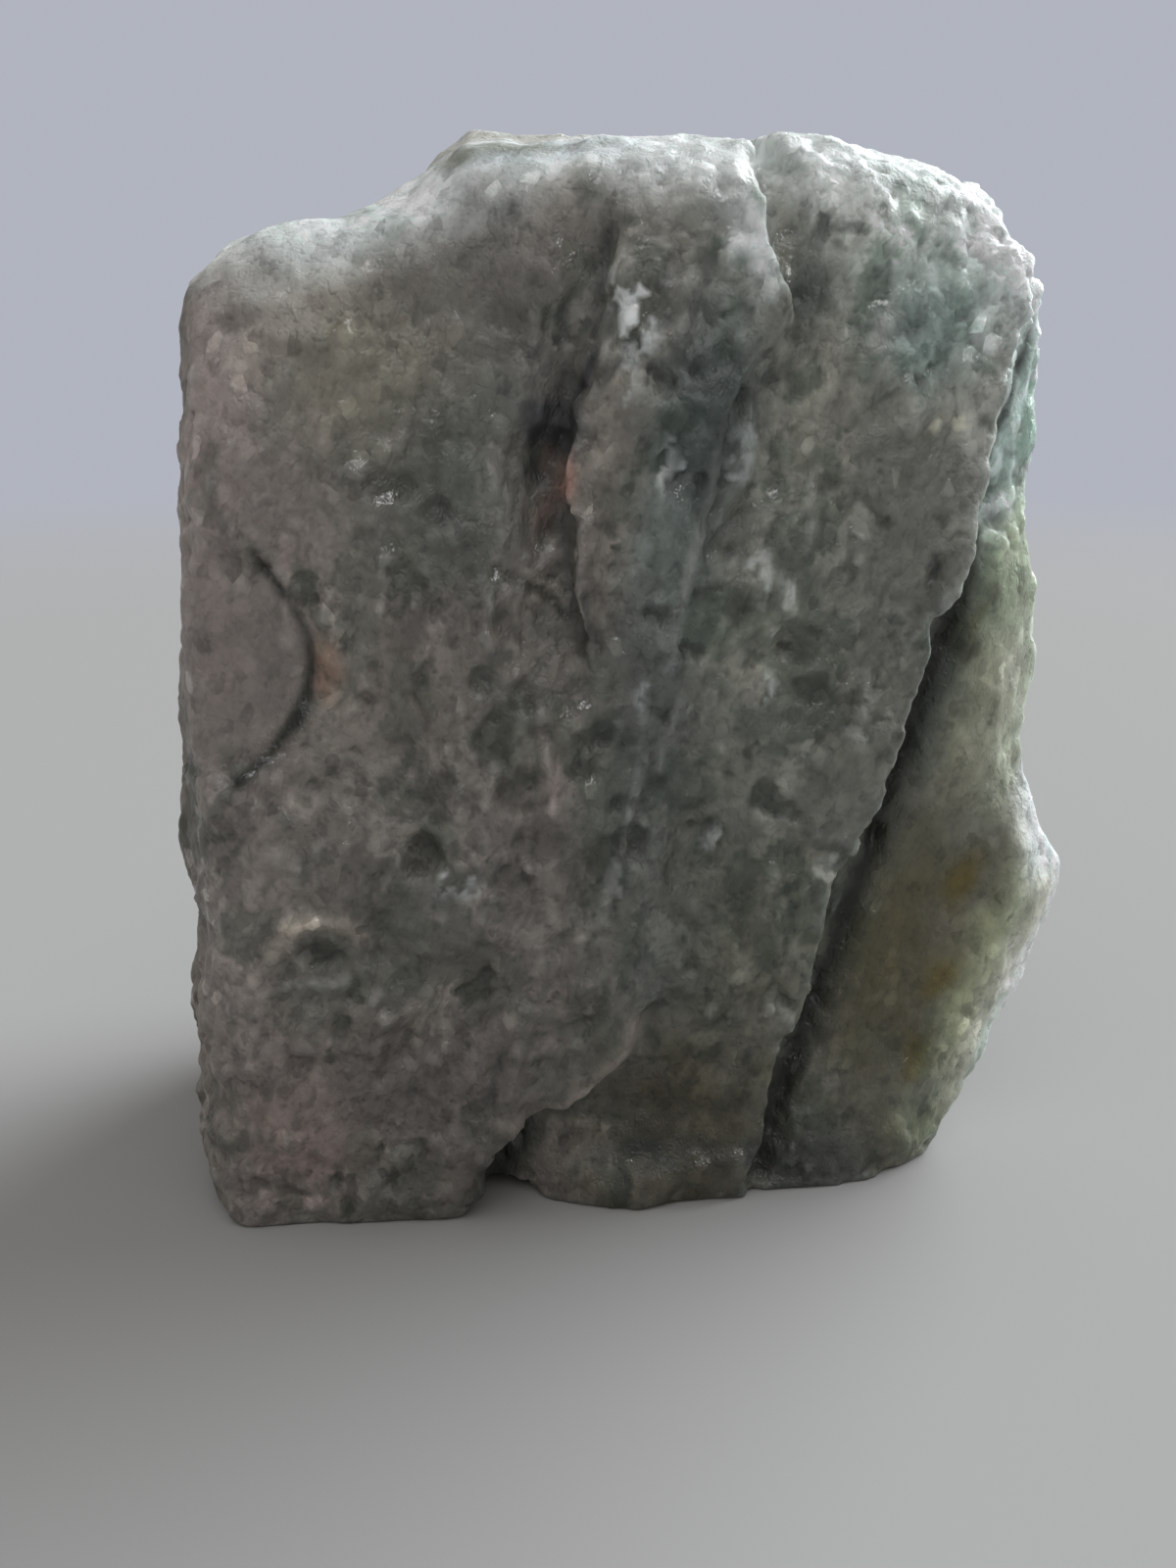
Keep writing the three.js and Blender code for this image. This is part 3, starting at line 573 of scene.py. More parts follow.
CRACKS = (
    # The open crack, from the top down to its foot.
    Crack(((-3.7, 83), (-4.6, 79), (-5.1, 75), (-5.9, 72)), 0.38, 0.35, Tint.BLUE_BLACK, 0.85, 0.45),
    Crack(((-5.9, 72), (-8.1, 66.5), (-8.5, 64), (-7.1, 61), (-7.2, 56), (-6.4, 52.5)), 0.45, 0.4,
          Tint.BLUE_BLACK, 0.4),
    Crack(((-5.9, 56.5), (-5.7, 52.5)), 0.35, 0.4, Tint.BLUE_BLACK, 0.45),
    Crack(((-5.2, 53.5), (-4.9, 50.8)), 0.35, 0.4, Tint.BLUE_BLACK, 0.45),
    # The fine seam, and the bright grains on its left.
    Crack(((6, 70.5), (5.2, 67.5), (4.2, 62.2), (3.3, 58.9), (2.6, 55.2), (1.4, 50.9), (-0.2, 43.5),
           (-1.6, 36.9), (-4, 28.5)), 0.4, 0.26, Tint.DARK_GREEN, 0.3, 0.4),
    Crack(((4.9, 70), (4.1, 66.8), (3.2, 62), (2.3, 58.8), (1.6, 55), (0.4, 50.7), (-1.2, 43.3),
           (-2.6, 36.7), (-4.9, 28.5)), 0.45, -0.06, Tint.PALE_GREY, 0.35, 0.8),
    # The edge of the scar.
    Crack(((-31, 60), (-29.9, 57.8), (-27.8, 53.6), (-27.6, 50.8), (-28, 48.6)), 0.5, 0.35,
          Tint.BLACK_GREEN, 0.9, 0.25),
    Crack(((-28, 48.6), (-29, 46.6), (-31, 44.2), (-33.6, 42)), 0.6, 0.4, Tint.BLACK_GREEN, 0.95, 0.3),
    # The foot of the long ledge: a cut painted black-green, as painted shadow along the ledge.
    Crack(((31, 76.5), (29.8, 71.8), (28, 67), (27.2, 62.5), (27.4, 59)), 0.65, 0.3,
          Tint.BLACK_GREEN, 0.8, 0.1),
    Crack(((27.6, 59), (26.4, 54.5), (24.3, 46.5), (22.8, 40), (21, 33.6)), 1.25, 0.8,
          Tint.BLACK_GREEN, 1.0, 0.0),
    Crack(((21, 33.6), (19, 26.3), (16.4, 17.9), (14.2, 12.4), (12.2, 7.5), (11, 2)), 1.3, 0.9,
          Tint.BLACK_GREEN, 1.0, 0.0),
    # The pale edge of the rim under the bulge: painted light from behind, glowing through the thin edge.
    Crack(((39, 27), (36.8, 21.7), (34.2, 16), (31.4, 10.7), (30.2, 5)), 1.8, 0.0, Tint.CREAM, 0.9, 0.2),
    # The pale edge of the overhanging lip, and the lobe above it.
    Crack(((-13.6, 10.6), (-11, 9.6), (-8, 10.8), (-5.7, 12.2), (-3.8, 14.2), (-2.2, 16.6), (-1.7, 19)),
          0.9, -0.15, Tint.BEIGE, 1.0, 0.2),
    Crack(((-6, 19.4), (-8.8, 18.5), (-12.5, 17.5), (-13.5, 16.2), (-14.1, 13.4), (-13.9, 11.4)), 0.45, 0.35,
          Tint.DARK_GREEN, 0.5, 0.4),
    # The small shelf left of the crack, and the lump under it.
    Crack(((-12.9, 59.3), (-10.6, 58.3), (-8.6, 57), (-7.7, 56)), 0.4, -0.15, Tint.BEIGE, 0.4, 0.4),
    Crack(((-12.6, 58.6), (-10.4, 57.4), (-8.4, 55.8), (-7.6, 54.6)), 0.45, 0.4, Tint.BLACK_GREEN, 0.6, 0.3),
    Crack(((-14, 50.2), (-12.2, 49.4), (-10.2, 49.8), (-8.8, 51.6)), 0.4, 0.35, Tint.DARK_GREEN, 0.5, 0.3),
    # The curved ledge at the lower left, and the hollow under it.
    Crack(((-31.4, 28), (-30.4, 29.8), (-28.4, 30.4), (-26, 29.8), (-24.8, 28.4)), 0.85, -0.4,
          Tint.BEIGE, 1.0, 0.1),
    Crack(((-30.6, 24.8), (-28.4, 24.2), (-26.2, 24.6)), 0.5, -0.3, Tint.PALE_GREY, 0.35, 0.5),
    # Bright streaks in the front face.
    Crack(((7.9, 58.8), (8.8, 57.6), (9.6, 57.2), (10.8, 55)), 0.45, -0.3, Tint.PALE_GREY, 0.55, 0.3),
    Crack(((17.2, 49.8), (17.3, 47.6), (16.5, 45)), 0.4, -0.3, Tint.PALE_GREY, 0.35, 0.5),
    Crack(((12.2, 66), (12, 62.5), (11.6, 60)), 0.5, -0.25, Tint.PALE_GREY, 0.4, 0.4),
    Crack(((1.4, 47.6), (0.6, 44.2), (0.3, 42)), 0.4, -0.2, Tint.PALE_GREY, 0.45, 0.4),
    Crack(((-9.6, 47.6), (-9.3, 44.4), (-8.6, 40), (-8.9, 37)), 0.45, -0.35, Tint.MAUVE, 0.4, 0.3),
    Crack(((13.6, 36), (15.8, 35.6), (17.4, 34)), 0.5, -0.3, Tint.PALE_GREY, 0.45, 0.4),
    Crack(((10.6, 20.4), (12.2, 19.2), (13.4, 16.8)), 0.6, -0.3, Tint.PALE_GREY, 0.35, 0.4),
)


@dataclass(frozen=True)
class PaintedLightShade:
    """A soft place where light or shade is painted into the rock's colour, making it look lighter or darker.

    Attributes:
        factor: what red, green and blue are multiplied by.
        place: where.
    """

    factor: Colour
    place: Place


# Painted light and shade, place by place: lighter where light falls on or shines through the rock, darker
# where shade falls.
PAINTED_LIGHT_AND_SHADE = (
    # Left of the crack.
    PaintedLightShade((0.72, 0.72, 0.72), Place((-11, -19, 82), (5, 6, 5.5), 0, 0.9)),
    PaintedLightShade((1.42, 1.4, 1.36), Place((-23.5, -21, 73), (7, 6, 6), 0, 0.9)),
    PaintedLightShade((1.32, 1.3, 1.3), Place((-24, -21, 59), (5, 6, 6), 0, 0.9)),
    PaintedLightShade((1.28, 1.25, 1.22), Place((-23.2, -21, 48.5), (4, 6, 5), 0, 0.9)),
    PaintedLightShade((0.85, 0.85, 0.85), Place((-17, -21, 69.5), (4, 6, 5), 0, 0.9)),
    PaintedLightShade((0.8, 0.8, 0.8), Place((-17.2, -22.2, 54.5), (4, 6, 4), 0, 0.9)),
    PaintedLightShade((0.8, 0.79, 0.78), Place((-6.4, -22, 54), (3, 5, 4), 0, 0.9)),
    PaintedLightShade((1.2, 1.18, 1.18), Place((-11.3, -22, 51.2), (2.2, 5, 1.6), 30, 0.5)),
    PaintedLightShade((1.15, 1.15, 1.13), Place((-10, -22, 44), (6, 6, 4), 0, 0.9)),
    PaintedLightShade((1.3, 1.28, 1.25), Place((-18.5, -22, 22.5), (4, 6, 3.5), 0, 0.9)),
    PaintedLightShade((1.5, 1.5, 1.5), Place((-28.4, -22, 30), (3, 4, 1.8), 0, 0.9)),
    PaintedLightShade((0.66, 0.66, 0.68), Place((-18, -22.1, 14), (9, 6, 6), 0, 0.9)),
    PaintedLightShade((1.32, 1.2, 1.22), Place((-31.5, -20, 8), (7, 9, 8), 0, 0.9)),
    PaintedLightShade((0.8, 0.7, 0.66), Place((-42, -12, 48), (4, 12, 44), 0, 0.8)),
    # Between the crack and the seam.
    PaintedLightShade((0.85, 0.85, 0.85), Place((-1, -20.4, 86), (6, 6, 4), 0, 0.9)),
    PaintedLightShade((0.76, 0.76, 0.76), Place((-5, -22, 63), (2.2, 5, 8), 4, 0.8)),
    PaintedLightShade((0.82, 0.82, 0.84), Place((0.8, -22, 77), (3, 6, 5), 8, 0.9)),
    PaintedLightShade((0.58, 0.6, 0.62), Place((3.8, -22, 69.5), (3.8, 6, 8), 8, 0.8)),
    PaintedLightShade((1.25, 1.25, 1.25), Place((-1.5, -22, 59), (3, 5, 5), 8, 0.9)),
    PaintedLightShade((1.25, 1.22, 1.2), Place((-1.6, -22, 65), (2.2, 5, 3), 8, 0.9)),
    PaintedLightShade((0.82, 0.84, 0.86), Place((-0.5, -22, 50), (4, 6, 8), 8, 0.8)),
    # Right of the seam.
    PaintedLightShade((1.5, 1.46, 1.42), Place((11.3, -21.2, 68.5), (3.6, 6, 9), 8, 0.9)),
    PaintedLightShade((1.35, 1.35, 1.35), Place((19.5, -20.7, 82), (8, 6, 4.5), 0, 0.9)),
    PaintedLightShade((1.25, 1.25, 1.25), Place((23, -20.5, 73), (3.5, 6, 7), 10, 0.9)),
    PaintedLightShade((1.2, 1.2, 1.2), Place((16.4, -20.5, 75.5), (1.8, 6, 5), 10, 0.9)),
    PaintedLightShade((0.76, 0.77, 0.8), Place((19.8, -20.4, 75.5), (5, 6, 4.5), 15, 0.8)),
    PaintedLightShade((1.5, 1.48, 1.44), Place((8, -21.9, 52.5), (6.5, 6, 7), 0, 0.9)),
    PaintedLightShade((1.25, 1.25, 1.22), Place((6.5, -22, 41), (4, 6, 4), 0, 0.9)),
    PaintedLightShade((1.2, 1.2, 1.2), Place((13, -22, 29.5), (4, 6, 4), 0, 0.9)),
    PaintedLightShade((0.76, 0.76, 0.74), Place((17.5, -22, 44.5), (5.5, 6, 7), 0, 0.9)),
    PaintedLightShade((0.85, 0.85, 0.84), Place((7.2, -21.6, 25), (4, 6, 7), 0, 0.9)),
    # The recess and the feet.
    PaintedLightShade((0.7, 0.71, 0.78), Place((4, -18, 7), (9, 6, 9), 0, 0.8)),
    PaintedLightShade((0.8, 0.82, 0.9), Place((3, -21, 5), (9, 6, 1.8), 0, 0.6)),
    PaintedLightShade((1.12, 1.08, 0.85), Place((25, -18, 4), (5, 6, 5), 0, 0.8)),
    # The rim.
    PaintedLightShade((1.0, 1.0, 0.93), Place((28.2, -16.3, 47), (3, 5, 12), 12, 0.9)),
    PaintedLightShade((0.86, 0.87, 0.84), Place((31.5, -15, 42), (4, 5, 6), 12, 0.9)),
    PaintedLightShade((1.2, 1.16, 1.0), Place((23.8, -17, 26), (4, 5, 14), 15, 0.9)),
    PaintedLightShade((1.0, 0.96, 0.8), Place((30.5, -16, 22), (4, 5, 16), 15, 0.9)),
    PaintedLightShade((1.55, 1.5, 1.65), Place((37.2, -11.5, 51), (4.2, 9, 15), 8, 0.9)),
    PaintedLightShade((1.45, 1.45, 1.5), Place((36.8, -12.5, 15), (4.2, 8, 17), 24, 0.9)),
    PaintedLightShade((1.3, 1.3, 1.35), Place((40.5, -12.5, 33), (4, 8, 8), 0, 0.9)),
    PaintedLightShade((1.2, 1.2, 1.2), Place((33.4, -13, 66), (3.4, 9, 8), 8, 0.9)),
    PaintedLightShade((0.9, 0.95, 1.0), Place((-10, -15, 88.7), (9, 4, 2), 0, 0.8)),
)


# ---------------------------------------------------------------- shader nodes


class Socket:
    """An output of a node. Arithmetic on it adds the Math nodes that work it out."""

    def __init__(self, graph: "Graph", output: bpy.types.NodeSocket) -> None:
        """Wraps one output of a node in this graph."""
        self.graph = graph
        self.output = output

    def _math(self, operation: str, *values: "Socket | float") -> "Socket":
        """Adds one Math node."""
        return self.graph.node("ShaderNodeMath", {"operation": operation}, dict(enumerate(values)))

    def __add__(self, other: "Socket | float") -> "Socket":
        """This value and another together."""
        return self._math("ADD", self, other)

    __radd__ = __add__

    def __sub__(self, other: "Socket | float") -> "Socket":
        """This value less another."""
        return self._math("SUBTRACT", self, other)

    def __rsub__(self, other: float) -> "Socket":
        """A number less this value."""
        return self._math("SUBTRACT", other, self)

    def __mul__(self, other: "Socket | float") -> "Socket":
        """This value times another."""
        return self._math("MULTIPLY", self, other)

    __rmul__ = __mul__

    def size(self) -> "Socket":
        """This value without its sign."""
        return self._math("ABSOLUTE", self)

    def also(self, name: str) -> "Socket":
        """Another output of the same node."""
        return Socket(self.graph, self.output.node.outputs[name])

    def ramp(self, low: float, high: float) -> "Socket":
        """Rises smoothly from 0 where this value is low to 1 where it is high."""
        values = {"Value": self, "From Min": low, "From Max": high}
        return self.graph.node("ShaderNodeMapRange", {"interpolation_type": "SMOOTHSTEP"}, values)


class Graph:
    """The nodes of a material or of the surroundings."""

    def __init__(self, owner: bpy.types.Material | bpy.types.World, shader: str) -> None:
        """Turns on the owner's nodes.

        Args:
            owner: whose nodes these are.
            shader: name of the shader that it starts with.
        """
        owner.use_nodes = True
        self.tree = owner.node_tree
        self.shader = self.tree.nodes[shader]

    def node(self, kind: str, settings: dict[str, Setting], values: dict[str | int, object],
             output: str | int = 0) -> Socket:
        """Adds a node.

        Args:
            kind: the node's type.
            settings: its properties, which are set first.
            values: a number, a colour or another node's output for each named or numbered socket.
            output: the output to return.

        Returns:
            That output.
        """
        made = self.tree.nodes.new(kind)
        for name, setting in settings.items():
            setattr(made, name, setting)
        for name, value in values.items():
            self.feed(made.inputs[name], value)
        return Socket(self, made.outputs[output])

    def feed(self, socket: bpy.types.NodeSocket, value: object) -> None:
        """Links an output to a socket, or sets the socket's own value.

        Args:
            socket: the input to feed.
            value: a number, a colour or another node's output.
        """
        if isinstance(value, Socket):
            self.tree.links.new(value.output, socket)
        else:
            socket.default_value = value

    def mix(self, share: Socket, low: object, high: object) -> Socket:
        """Mixes two colours, by the sockets of a Mix node that hold colours."""
        return self.node("ShaderNodeMix", {"data_type": "RGBA"}, {0: share, 6: low, 7: high}, 2)

    def scale(self, colour: Socket, factor: Socket) -> Socket:
        """Makes a colour lighter or darker."""
        return self.node("ShaderNodeVectorMath", {"operation": "SCALE"}, {0: colour, "Scale": factor})

    def attribute(self, name: str, output: str) -> Socket:
        """Reads what the mesh holds under a name."""
        return self.node("ShaderNodeAttribute", {"attribute_name": name}, {}, output)

    def dress(self, values: dict[str, object]) -> None:
        """Feeds the shader's own sockets, by their names."""
        for name, value in values.items():
            self.feed(self.shader.inputs[name], value)


@dataclass(frozen=True)
class QuartziteFinish:
    """Waxy, slightly clear quartzite with a sugary grain and small glints.

    Attributes:
        clearness: share of the light that goes into the stone.
        light_path_mm: how far red, green and blue light go in it.
        grain_mm: size of the finest roughness.
        crystal_mm: size of the crystals, each a little lighter or darker than the next.
        crystal_rim: distances from a crystal's middle, in crystals, between which its look fades in.
        grain_contrast, crystal_contrast: how much lighter or darker the roughness and the crystals get.
        glint_share: a crystal's own number from 0 to 1 at which it starts to catch the light, and fully does.
        glossy_glints: how much that number rises where the skin is glossy.
        painted_glint_light: how much lighter a crystal that catches the light is painted, a painted glint.
            glint_polish, glint_coat: how much smoother and more coated such a crystal is.
        roughness: of the skin.
        relief_mm: height of the finest roughness.
        crystal_relief: height of the crystals, as a share of it.
    """

    clearness: float = 0.42
    light_path_mm: Point = (1.1, 1.4, 1.3)
    grain_mm: float = 0.45
    crystal_mm: float = 1.3
    crystal_rim: tuple[float, float] = (1.2, 0.8)
    grain_contrast: float = 0.5
    crystal_contrast: float = 0.55
    glint_share: tuple[float, float] = (0.86, 0.94)
    glossy_glints: float = 0.12
    painted_glint_light: float = 0.35
    glint_polish: float = 0.25
    glint_coat: float = 0.3
    roughness: float = 0.52
    relief_mm: float = 0.35
    crystal_relief: float = 0.5

    def material(self) -> bpy.types.Material:
        """Builds the material, which adds what is too fine for the mesh to its tint, gloss and layers.

        Returns:
            The finished material.
        """
        material = bpy.data.materials.new("aventurine_quartzite")
        graph = Graph(material, "Principled BSDF")
        tint = graph.attribute("tint", "Color")
        gloss = graph.attribute("gloss", "Fac")
        place = graph.attribute("layers", "Vector")
        finest = {"Vector": place, "Scale": 1 / self.grain_mm, "Detail": 1.0}
        fine = graph.node("ShaderNodeTexNoise", {}, finest)
        crystals = {"Vector": place, "Scale": 1 / self.crystal_mm}
        reach = graph.node("ShaderNodeTexVoronoi", {}, crystals, "Distance")
        own = graph.node("ShaderNodeSeparateColor", {}, {"Color": reach.also("Color")}, "Red")
        other = own.also("Green")

        middle = (reach + fine).ramp(*self.crystal_rim)
        lit = (other + self.glossy_glints * gloss).ramp(*self.glint_share)
        bright = 1 + self.crystal_contrast * (own - 0.5) * middle + self.grain_contrast * (fine - 0.5)
        height = (fine - 0.5).size() + self.crystal_relief * own * middle
        relief = {"Strength": 0.5, "Distance": self.relief_mm * MM, "Height": height}
        graph.dress({
            # Painted glint: crystals that catch the light get a lighter colour.
            "Base Color": graph.scale(tint, bright * (1 + self.painted_glint_light * lit * middle)),
            "Roughness": self.roughness - self.glint_polish * lit,
            "Normal": graph.node("ShaderNodeBump", {}, relief),
            "Coat Weight": self.glint_coat * lit,
            "Coat Roughness": 0.2,
            "IOR": 1.54,
            "Specular IOR Level": 0.4,
            "Subsurface Weight": self.clearness,
            "Subsurface Radius": [length * MM for length in self.light_path_mm],
            "Subsurface Scale": 1.0,
        })
        return material


@dataclass(frozen=True)
class FloorFinish:
    """Matt pale paper that turns into the even wall further off, so that no line shows between them.

    Attributes:
        colour: of the paper.
        near, far: distances in metres between which it turns into the wall.
    """

    colour: Colour = (0.36, 0.355, 0.35)
    near: float = 0.22
    far: float = 1.1

    def material(self, wall: Colour) -> bpy.types.Material:
        """Builds the material.

        Args:
            wall: the wall's colour as it is seen.

        Returns:
            The finished material.
        """
        material = bpy.data.materials.new("studio_floor")
        graph = Graph(material, "Principled BSDF")
        place = graph.node("ShaderNodeTexCoord", {}, {}, "Object")
        away = graph.node("ShaderNodeVectorMath", {"operation": "LENGTH"}, {0: place}, "Value")
        glow = graph.node("ShaderNodeEmission", {}, {"Color": (*wall, 1)})
        paper = Socket(graph, graph.shader.outputs[0])
        graph.dress({"Base Color": (*self.colour, 1), "Roughness": 0.9, "Specular IOR Level": 0.1})
        shown = graph.node("ShaderNodeMixShader", {}, {0: away.ramp(self.near, self.far), 1: paper, 2: glow})
        graph.feed(graph.tree.nodes["Material Output"].inputs["Surface"], shown)
        return material


# ---------------------------------------------------------------- the stone


UNDERNEATH = (-0.98, -0.8)  # how far the skin faces down where it is worn flat, and where it is rough

# Patches of colour that noise spreads over the rock.
MAUVE_PATCHES = Patches(Pattern.HUES, 12, 0.0, 0.5)
GREEN_PATCHES = Patches(Pattern.HUES, 12, 0.0, -0.5)
DARK_PATCHES = Patches(Pattern.DARK_PATCHES, 4.5, 0.1, 0.18, 4)
PALE_PATCHES = Patches(Pattern.PALE_PATCHES, 3.4, 0.16, 0.24, 4)
MOTTLES = Patches(Pattern.MOTTLES, 5.5, -0.2, 0.25)
SPECKS = Patches(Pattern.SPECKS, 1.5, 0.5, 0.62, 1)
SPECK_GROUPS = Patches(Pattern.SPECK_GROUPS, 9.0, -0.4, 0.3, 1)
GLOSSY_PARTS = Patches(Pattern.GLOSS, 8.0, -0.2, 0.5, 1)

# Where dark green grains have fallen out or show, and the parts of the rock that have them.
DARK_GRAINS = Patches(Pattern.DARK_GRAINS, 3.4, 0.27, 0.42)
DARK_GROUPS = Patches(Pattern.DARK_GROUPS, 13.0, -0.45, 0.25)

# Where the paint fades in, from the first place or value to the second. X and y are in millimetres.
LEFT_FROM_X = (6.0, -12.0)  # from grey-green on the right to mauve on the left
# Stains and patches of painted light and shade alike break up into mottles on the sides and behind.
MOTTLED_FROM_Y = (-9.0, -3.0)  # stains break up into mottles on the sides and behind
# The painted shade low down fades in from the left and the right edges towards the middle, where the rock is
# thick:
PAINTED_SHADE_FROM_X = ((-38.0, -10.0), (40.0, 30.0))  # in from the left and the right the rock looks darker
PAINTED_TOP_LIGHT_FROM_FACING = (0.3, 0.75)  # as the skin turns to face up
# Painted light from above fades in:
LIT_FROM_SUGAR = (-0.25, 0.15)  # spots show on the lighter grains alone
# Painted shade in hollows, and edges painted paler, partly pale chips and partly painted highlight:
PALE_CHIP_AND_HIGHLIGHT_FROM_EDGE = (0.1, 0.4)  # millimetres that an edge stands out
PAINTED_SHADE_FROM_HOLLOW = (0.04, 0.24)  # millimetres that a small hollow lies in
PAINTED_SHADE_FROM_WIDE_HOLLOW = (0.2, 0.8)

# How far a patch's edge follows the sugary grains, in millimetres along each way of the layers.
GRAIN_JAGS = np.array([1.3, 1.3, -1.3])

CALM_WHERE_CLEAR = 0.75  # how many of the dark grains and patches the clear parts lack, as a share
CALM_ON_LEFT = 0.25  # and the mauve left of the stone
# The mottles take away patches of painted light and shade as they take away stains.
MOTTLED = 0.7  # share of a stain that the mottles take away

# How much lighter and darker the large grains, the sugary grains and soft waves make the rock.
LARGE_GRAIN_SHADE = 0.3
SUGAR_SHADE = 0.25
WAVE_SHADE = 0.15

SHEEN = 0.55  # gloss of the glossy parts, where crystals that broke flat have 1
LIGHTEST = 0.86  # the most light that the skin gives back


@dataclass(frozen=True)
class Skin:
    """What the paint reads at each point of the stone's finished skin.

    Attributes:
        points: places, in millimetres.
        normals: outward directions.
        bent: places in the bent frame of the rock's layers.
        ragged: noise that breaks up the edges of places.
        sugar: lightness of each point's sugary grain, from -0.5 to 0.5.
        left: share of the mauve left of the stone, from 0 to 1.
        cloudy: how full of dark grains and patches the rock is, from 0 to 1.
    """

    points: np.ndarray
    normals: np.ndarray
    bent: np.ndarray
    ragged: np.ndarray
    sugar: np.ndarray
    left: np.ndarray
    cloudy: np.ndarray


@dataclass
class Stone:
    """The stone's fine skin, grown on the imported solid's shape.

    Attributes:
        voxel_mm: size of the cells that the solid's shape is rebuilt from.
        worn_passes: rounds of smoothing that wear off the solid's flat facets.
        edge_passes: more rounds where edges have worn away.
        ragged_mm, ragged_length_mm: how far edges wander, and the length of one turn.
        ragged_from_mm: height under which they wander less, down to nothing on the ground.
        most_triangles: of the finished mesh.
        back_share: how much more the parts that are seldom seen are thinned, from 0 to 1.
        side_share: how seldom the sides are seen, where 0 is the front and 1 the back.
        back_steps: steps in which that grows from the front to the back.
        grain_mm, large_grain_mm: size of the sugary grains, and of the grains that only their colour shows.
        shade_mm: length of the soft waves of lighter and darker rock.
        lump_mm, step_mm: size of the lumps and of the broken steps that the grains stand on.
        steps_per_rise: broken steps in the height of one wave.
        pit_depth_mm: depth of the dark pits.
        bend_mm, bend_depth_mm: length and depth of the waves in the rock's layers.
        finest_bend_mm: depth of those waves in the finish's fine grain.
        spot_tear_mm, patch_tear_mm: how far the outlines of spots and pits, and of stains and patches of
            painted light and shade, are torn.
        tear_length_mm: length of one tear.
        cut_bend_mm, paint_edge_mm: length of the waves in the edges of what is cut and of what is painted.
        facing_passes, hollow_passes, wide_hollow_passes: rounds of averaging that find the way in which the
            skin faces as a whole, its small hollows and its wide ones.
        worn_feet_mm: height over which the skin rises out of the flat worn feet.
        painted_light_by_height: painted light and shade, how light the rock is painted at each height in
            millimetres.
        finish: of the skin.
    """

    voxel_mm: float = 0.42
    worn_passes: int = 14
    edge_passes: int = 60
    ragged_mm: float = 0.5
    ragged_length_mm: float = 3.2
    ragged_from_mm: float = 2.5
    most_triangles: int = 192000
    back_share: float = 0.6
    side_share: float = 0.5
    back_steps: int = 10
    grain_mm: float = 1.4
    large_grain_mm: float = 3.0
    shade_mm: float = 2.0
    lump_mm: float = 5.5
    step_mm: float = 5.0
    steps_per_rise: float = 2.5
    pit_depth_mm: float = 0.35
    bend_mm: float = 5.0
    bend_depth_mm: float = 1.2
    finest_bend_mm: float = 0.25
    spot_tear_mm: float = 1.1
    patch_tear_mm: float = 1.3
    tear_length_mm: float = 2.4
    cut_bend_mm: float = 4.0
    paint_edge_mm: float = 3.5
    facing_passes: int = 12
    hollow_passes: int = 6
    wide_hollow_passes: int = 40
    worn_feet_mm: float = 1.2
    painted_light_by_height: tuple[tuple[float, float], ...] = (
        (0, 0.78), (15, 0.84), (30, 0.95), (45, 1.02), (60, 1.08), (72, 1.22), (84, 1.35),
    )
    finish: QuartziteFinish = field(default_factory=QuartziteFinish)

    def build(self) -> bpy.types.Object:
        """Makes the stone: its rough skin, its colours and its material.

        Returns:
            The finished piece, riding on the part's body in place of the plain solid.
        """
        stone = self._fine_copy(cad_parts[NODE])
        points, normals = self._surface(stone.data)
        points = self._worn_edges(stone.data, points)
        points = points + normals * self._height(points, normals)[:, None] + self._sideways(points)
        self._move(stone.data, points)
        self._thin(stone, normals)
        self._paint(stone.data)
        self._dress(stone)
        return stone

    def _fine_copy(self, solid: bpy.types.Object) -> bpy.types.Object:
        """Copies the solid's mesh into a new object and rebuilds it from small, even faces.

        Args:
            solid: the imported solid, which stays as it is.

        Returns:
            The new object.
        """
        stone = bpy.data.objects.new("aventurine_stone", solid.data.copy())
        bpy.context.scene.collection.objects.link(stone)
        stone.data.materials.clear()
        rebuilt = stone.modifiers.new("rebuilt", "REMESH")
        rebuilt.mode = "VOXEL"
        rebuilt.voxel_size = self.voxel_mm * MM
        worn = stone.modifiers.new("worn", "SMOOTH")
        worn.factor = 0.5
        worn.iterations = self.worn_passes
        self._apply(stone)
        return stone

    def _apply(self, stone: bpy.types.Object) -> None:
        """Replaces the object's mesh by what its modifiers make of it.

        Args:
            stone: the object, which has no modifiers and no groups of points afterwards.
        """
        old = stone.data
        shown = stone.evaluated_get(bpy.context.evaluated_depsgraph_get())
        stone.data = bpy.data.meshes.new_from_object(shown)
        stone.data.name = stone.name
        stone.modifiers.clear()
        stone.vertex_groups.clear()
        bpy.data.meshes.remove(old)

    def _surface(self, mesh: bpy.types.Mesh) -> tuple[np.ndarray, np.ndarray]:
        """Reads a mesh's points.

        Args:
            mesh: to be read.

        Returns:
            The points in millimetres, and their outward directions.
        """
        count = len(mesh.vertices)
        points = np.empty(count * 3)
        normals = np.empty(count * 3)
        mesh.vertices.foreach_get("co", points)
        mesh.vertices.foreach_get("normal", normals)
        return points.reshape(-1, 3) / MM, normals.reshape(-1, 3)

    def _move(self, mesh: bpy.types.Mesh, points: np.ndarray) -> None:
        """Moves the mesh's points to places given in millimetres."""
        mesh.vertices.foreach_set("co", (points * MM).ravel())
        mesh.update()

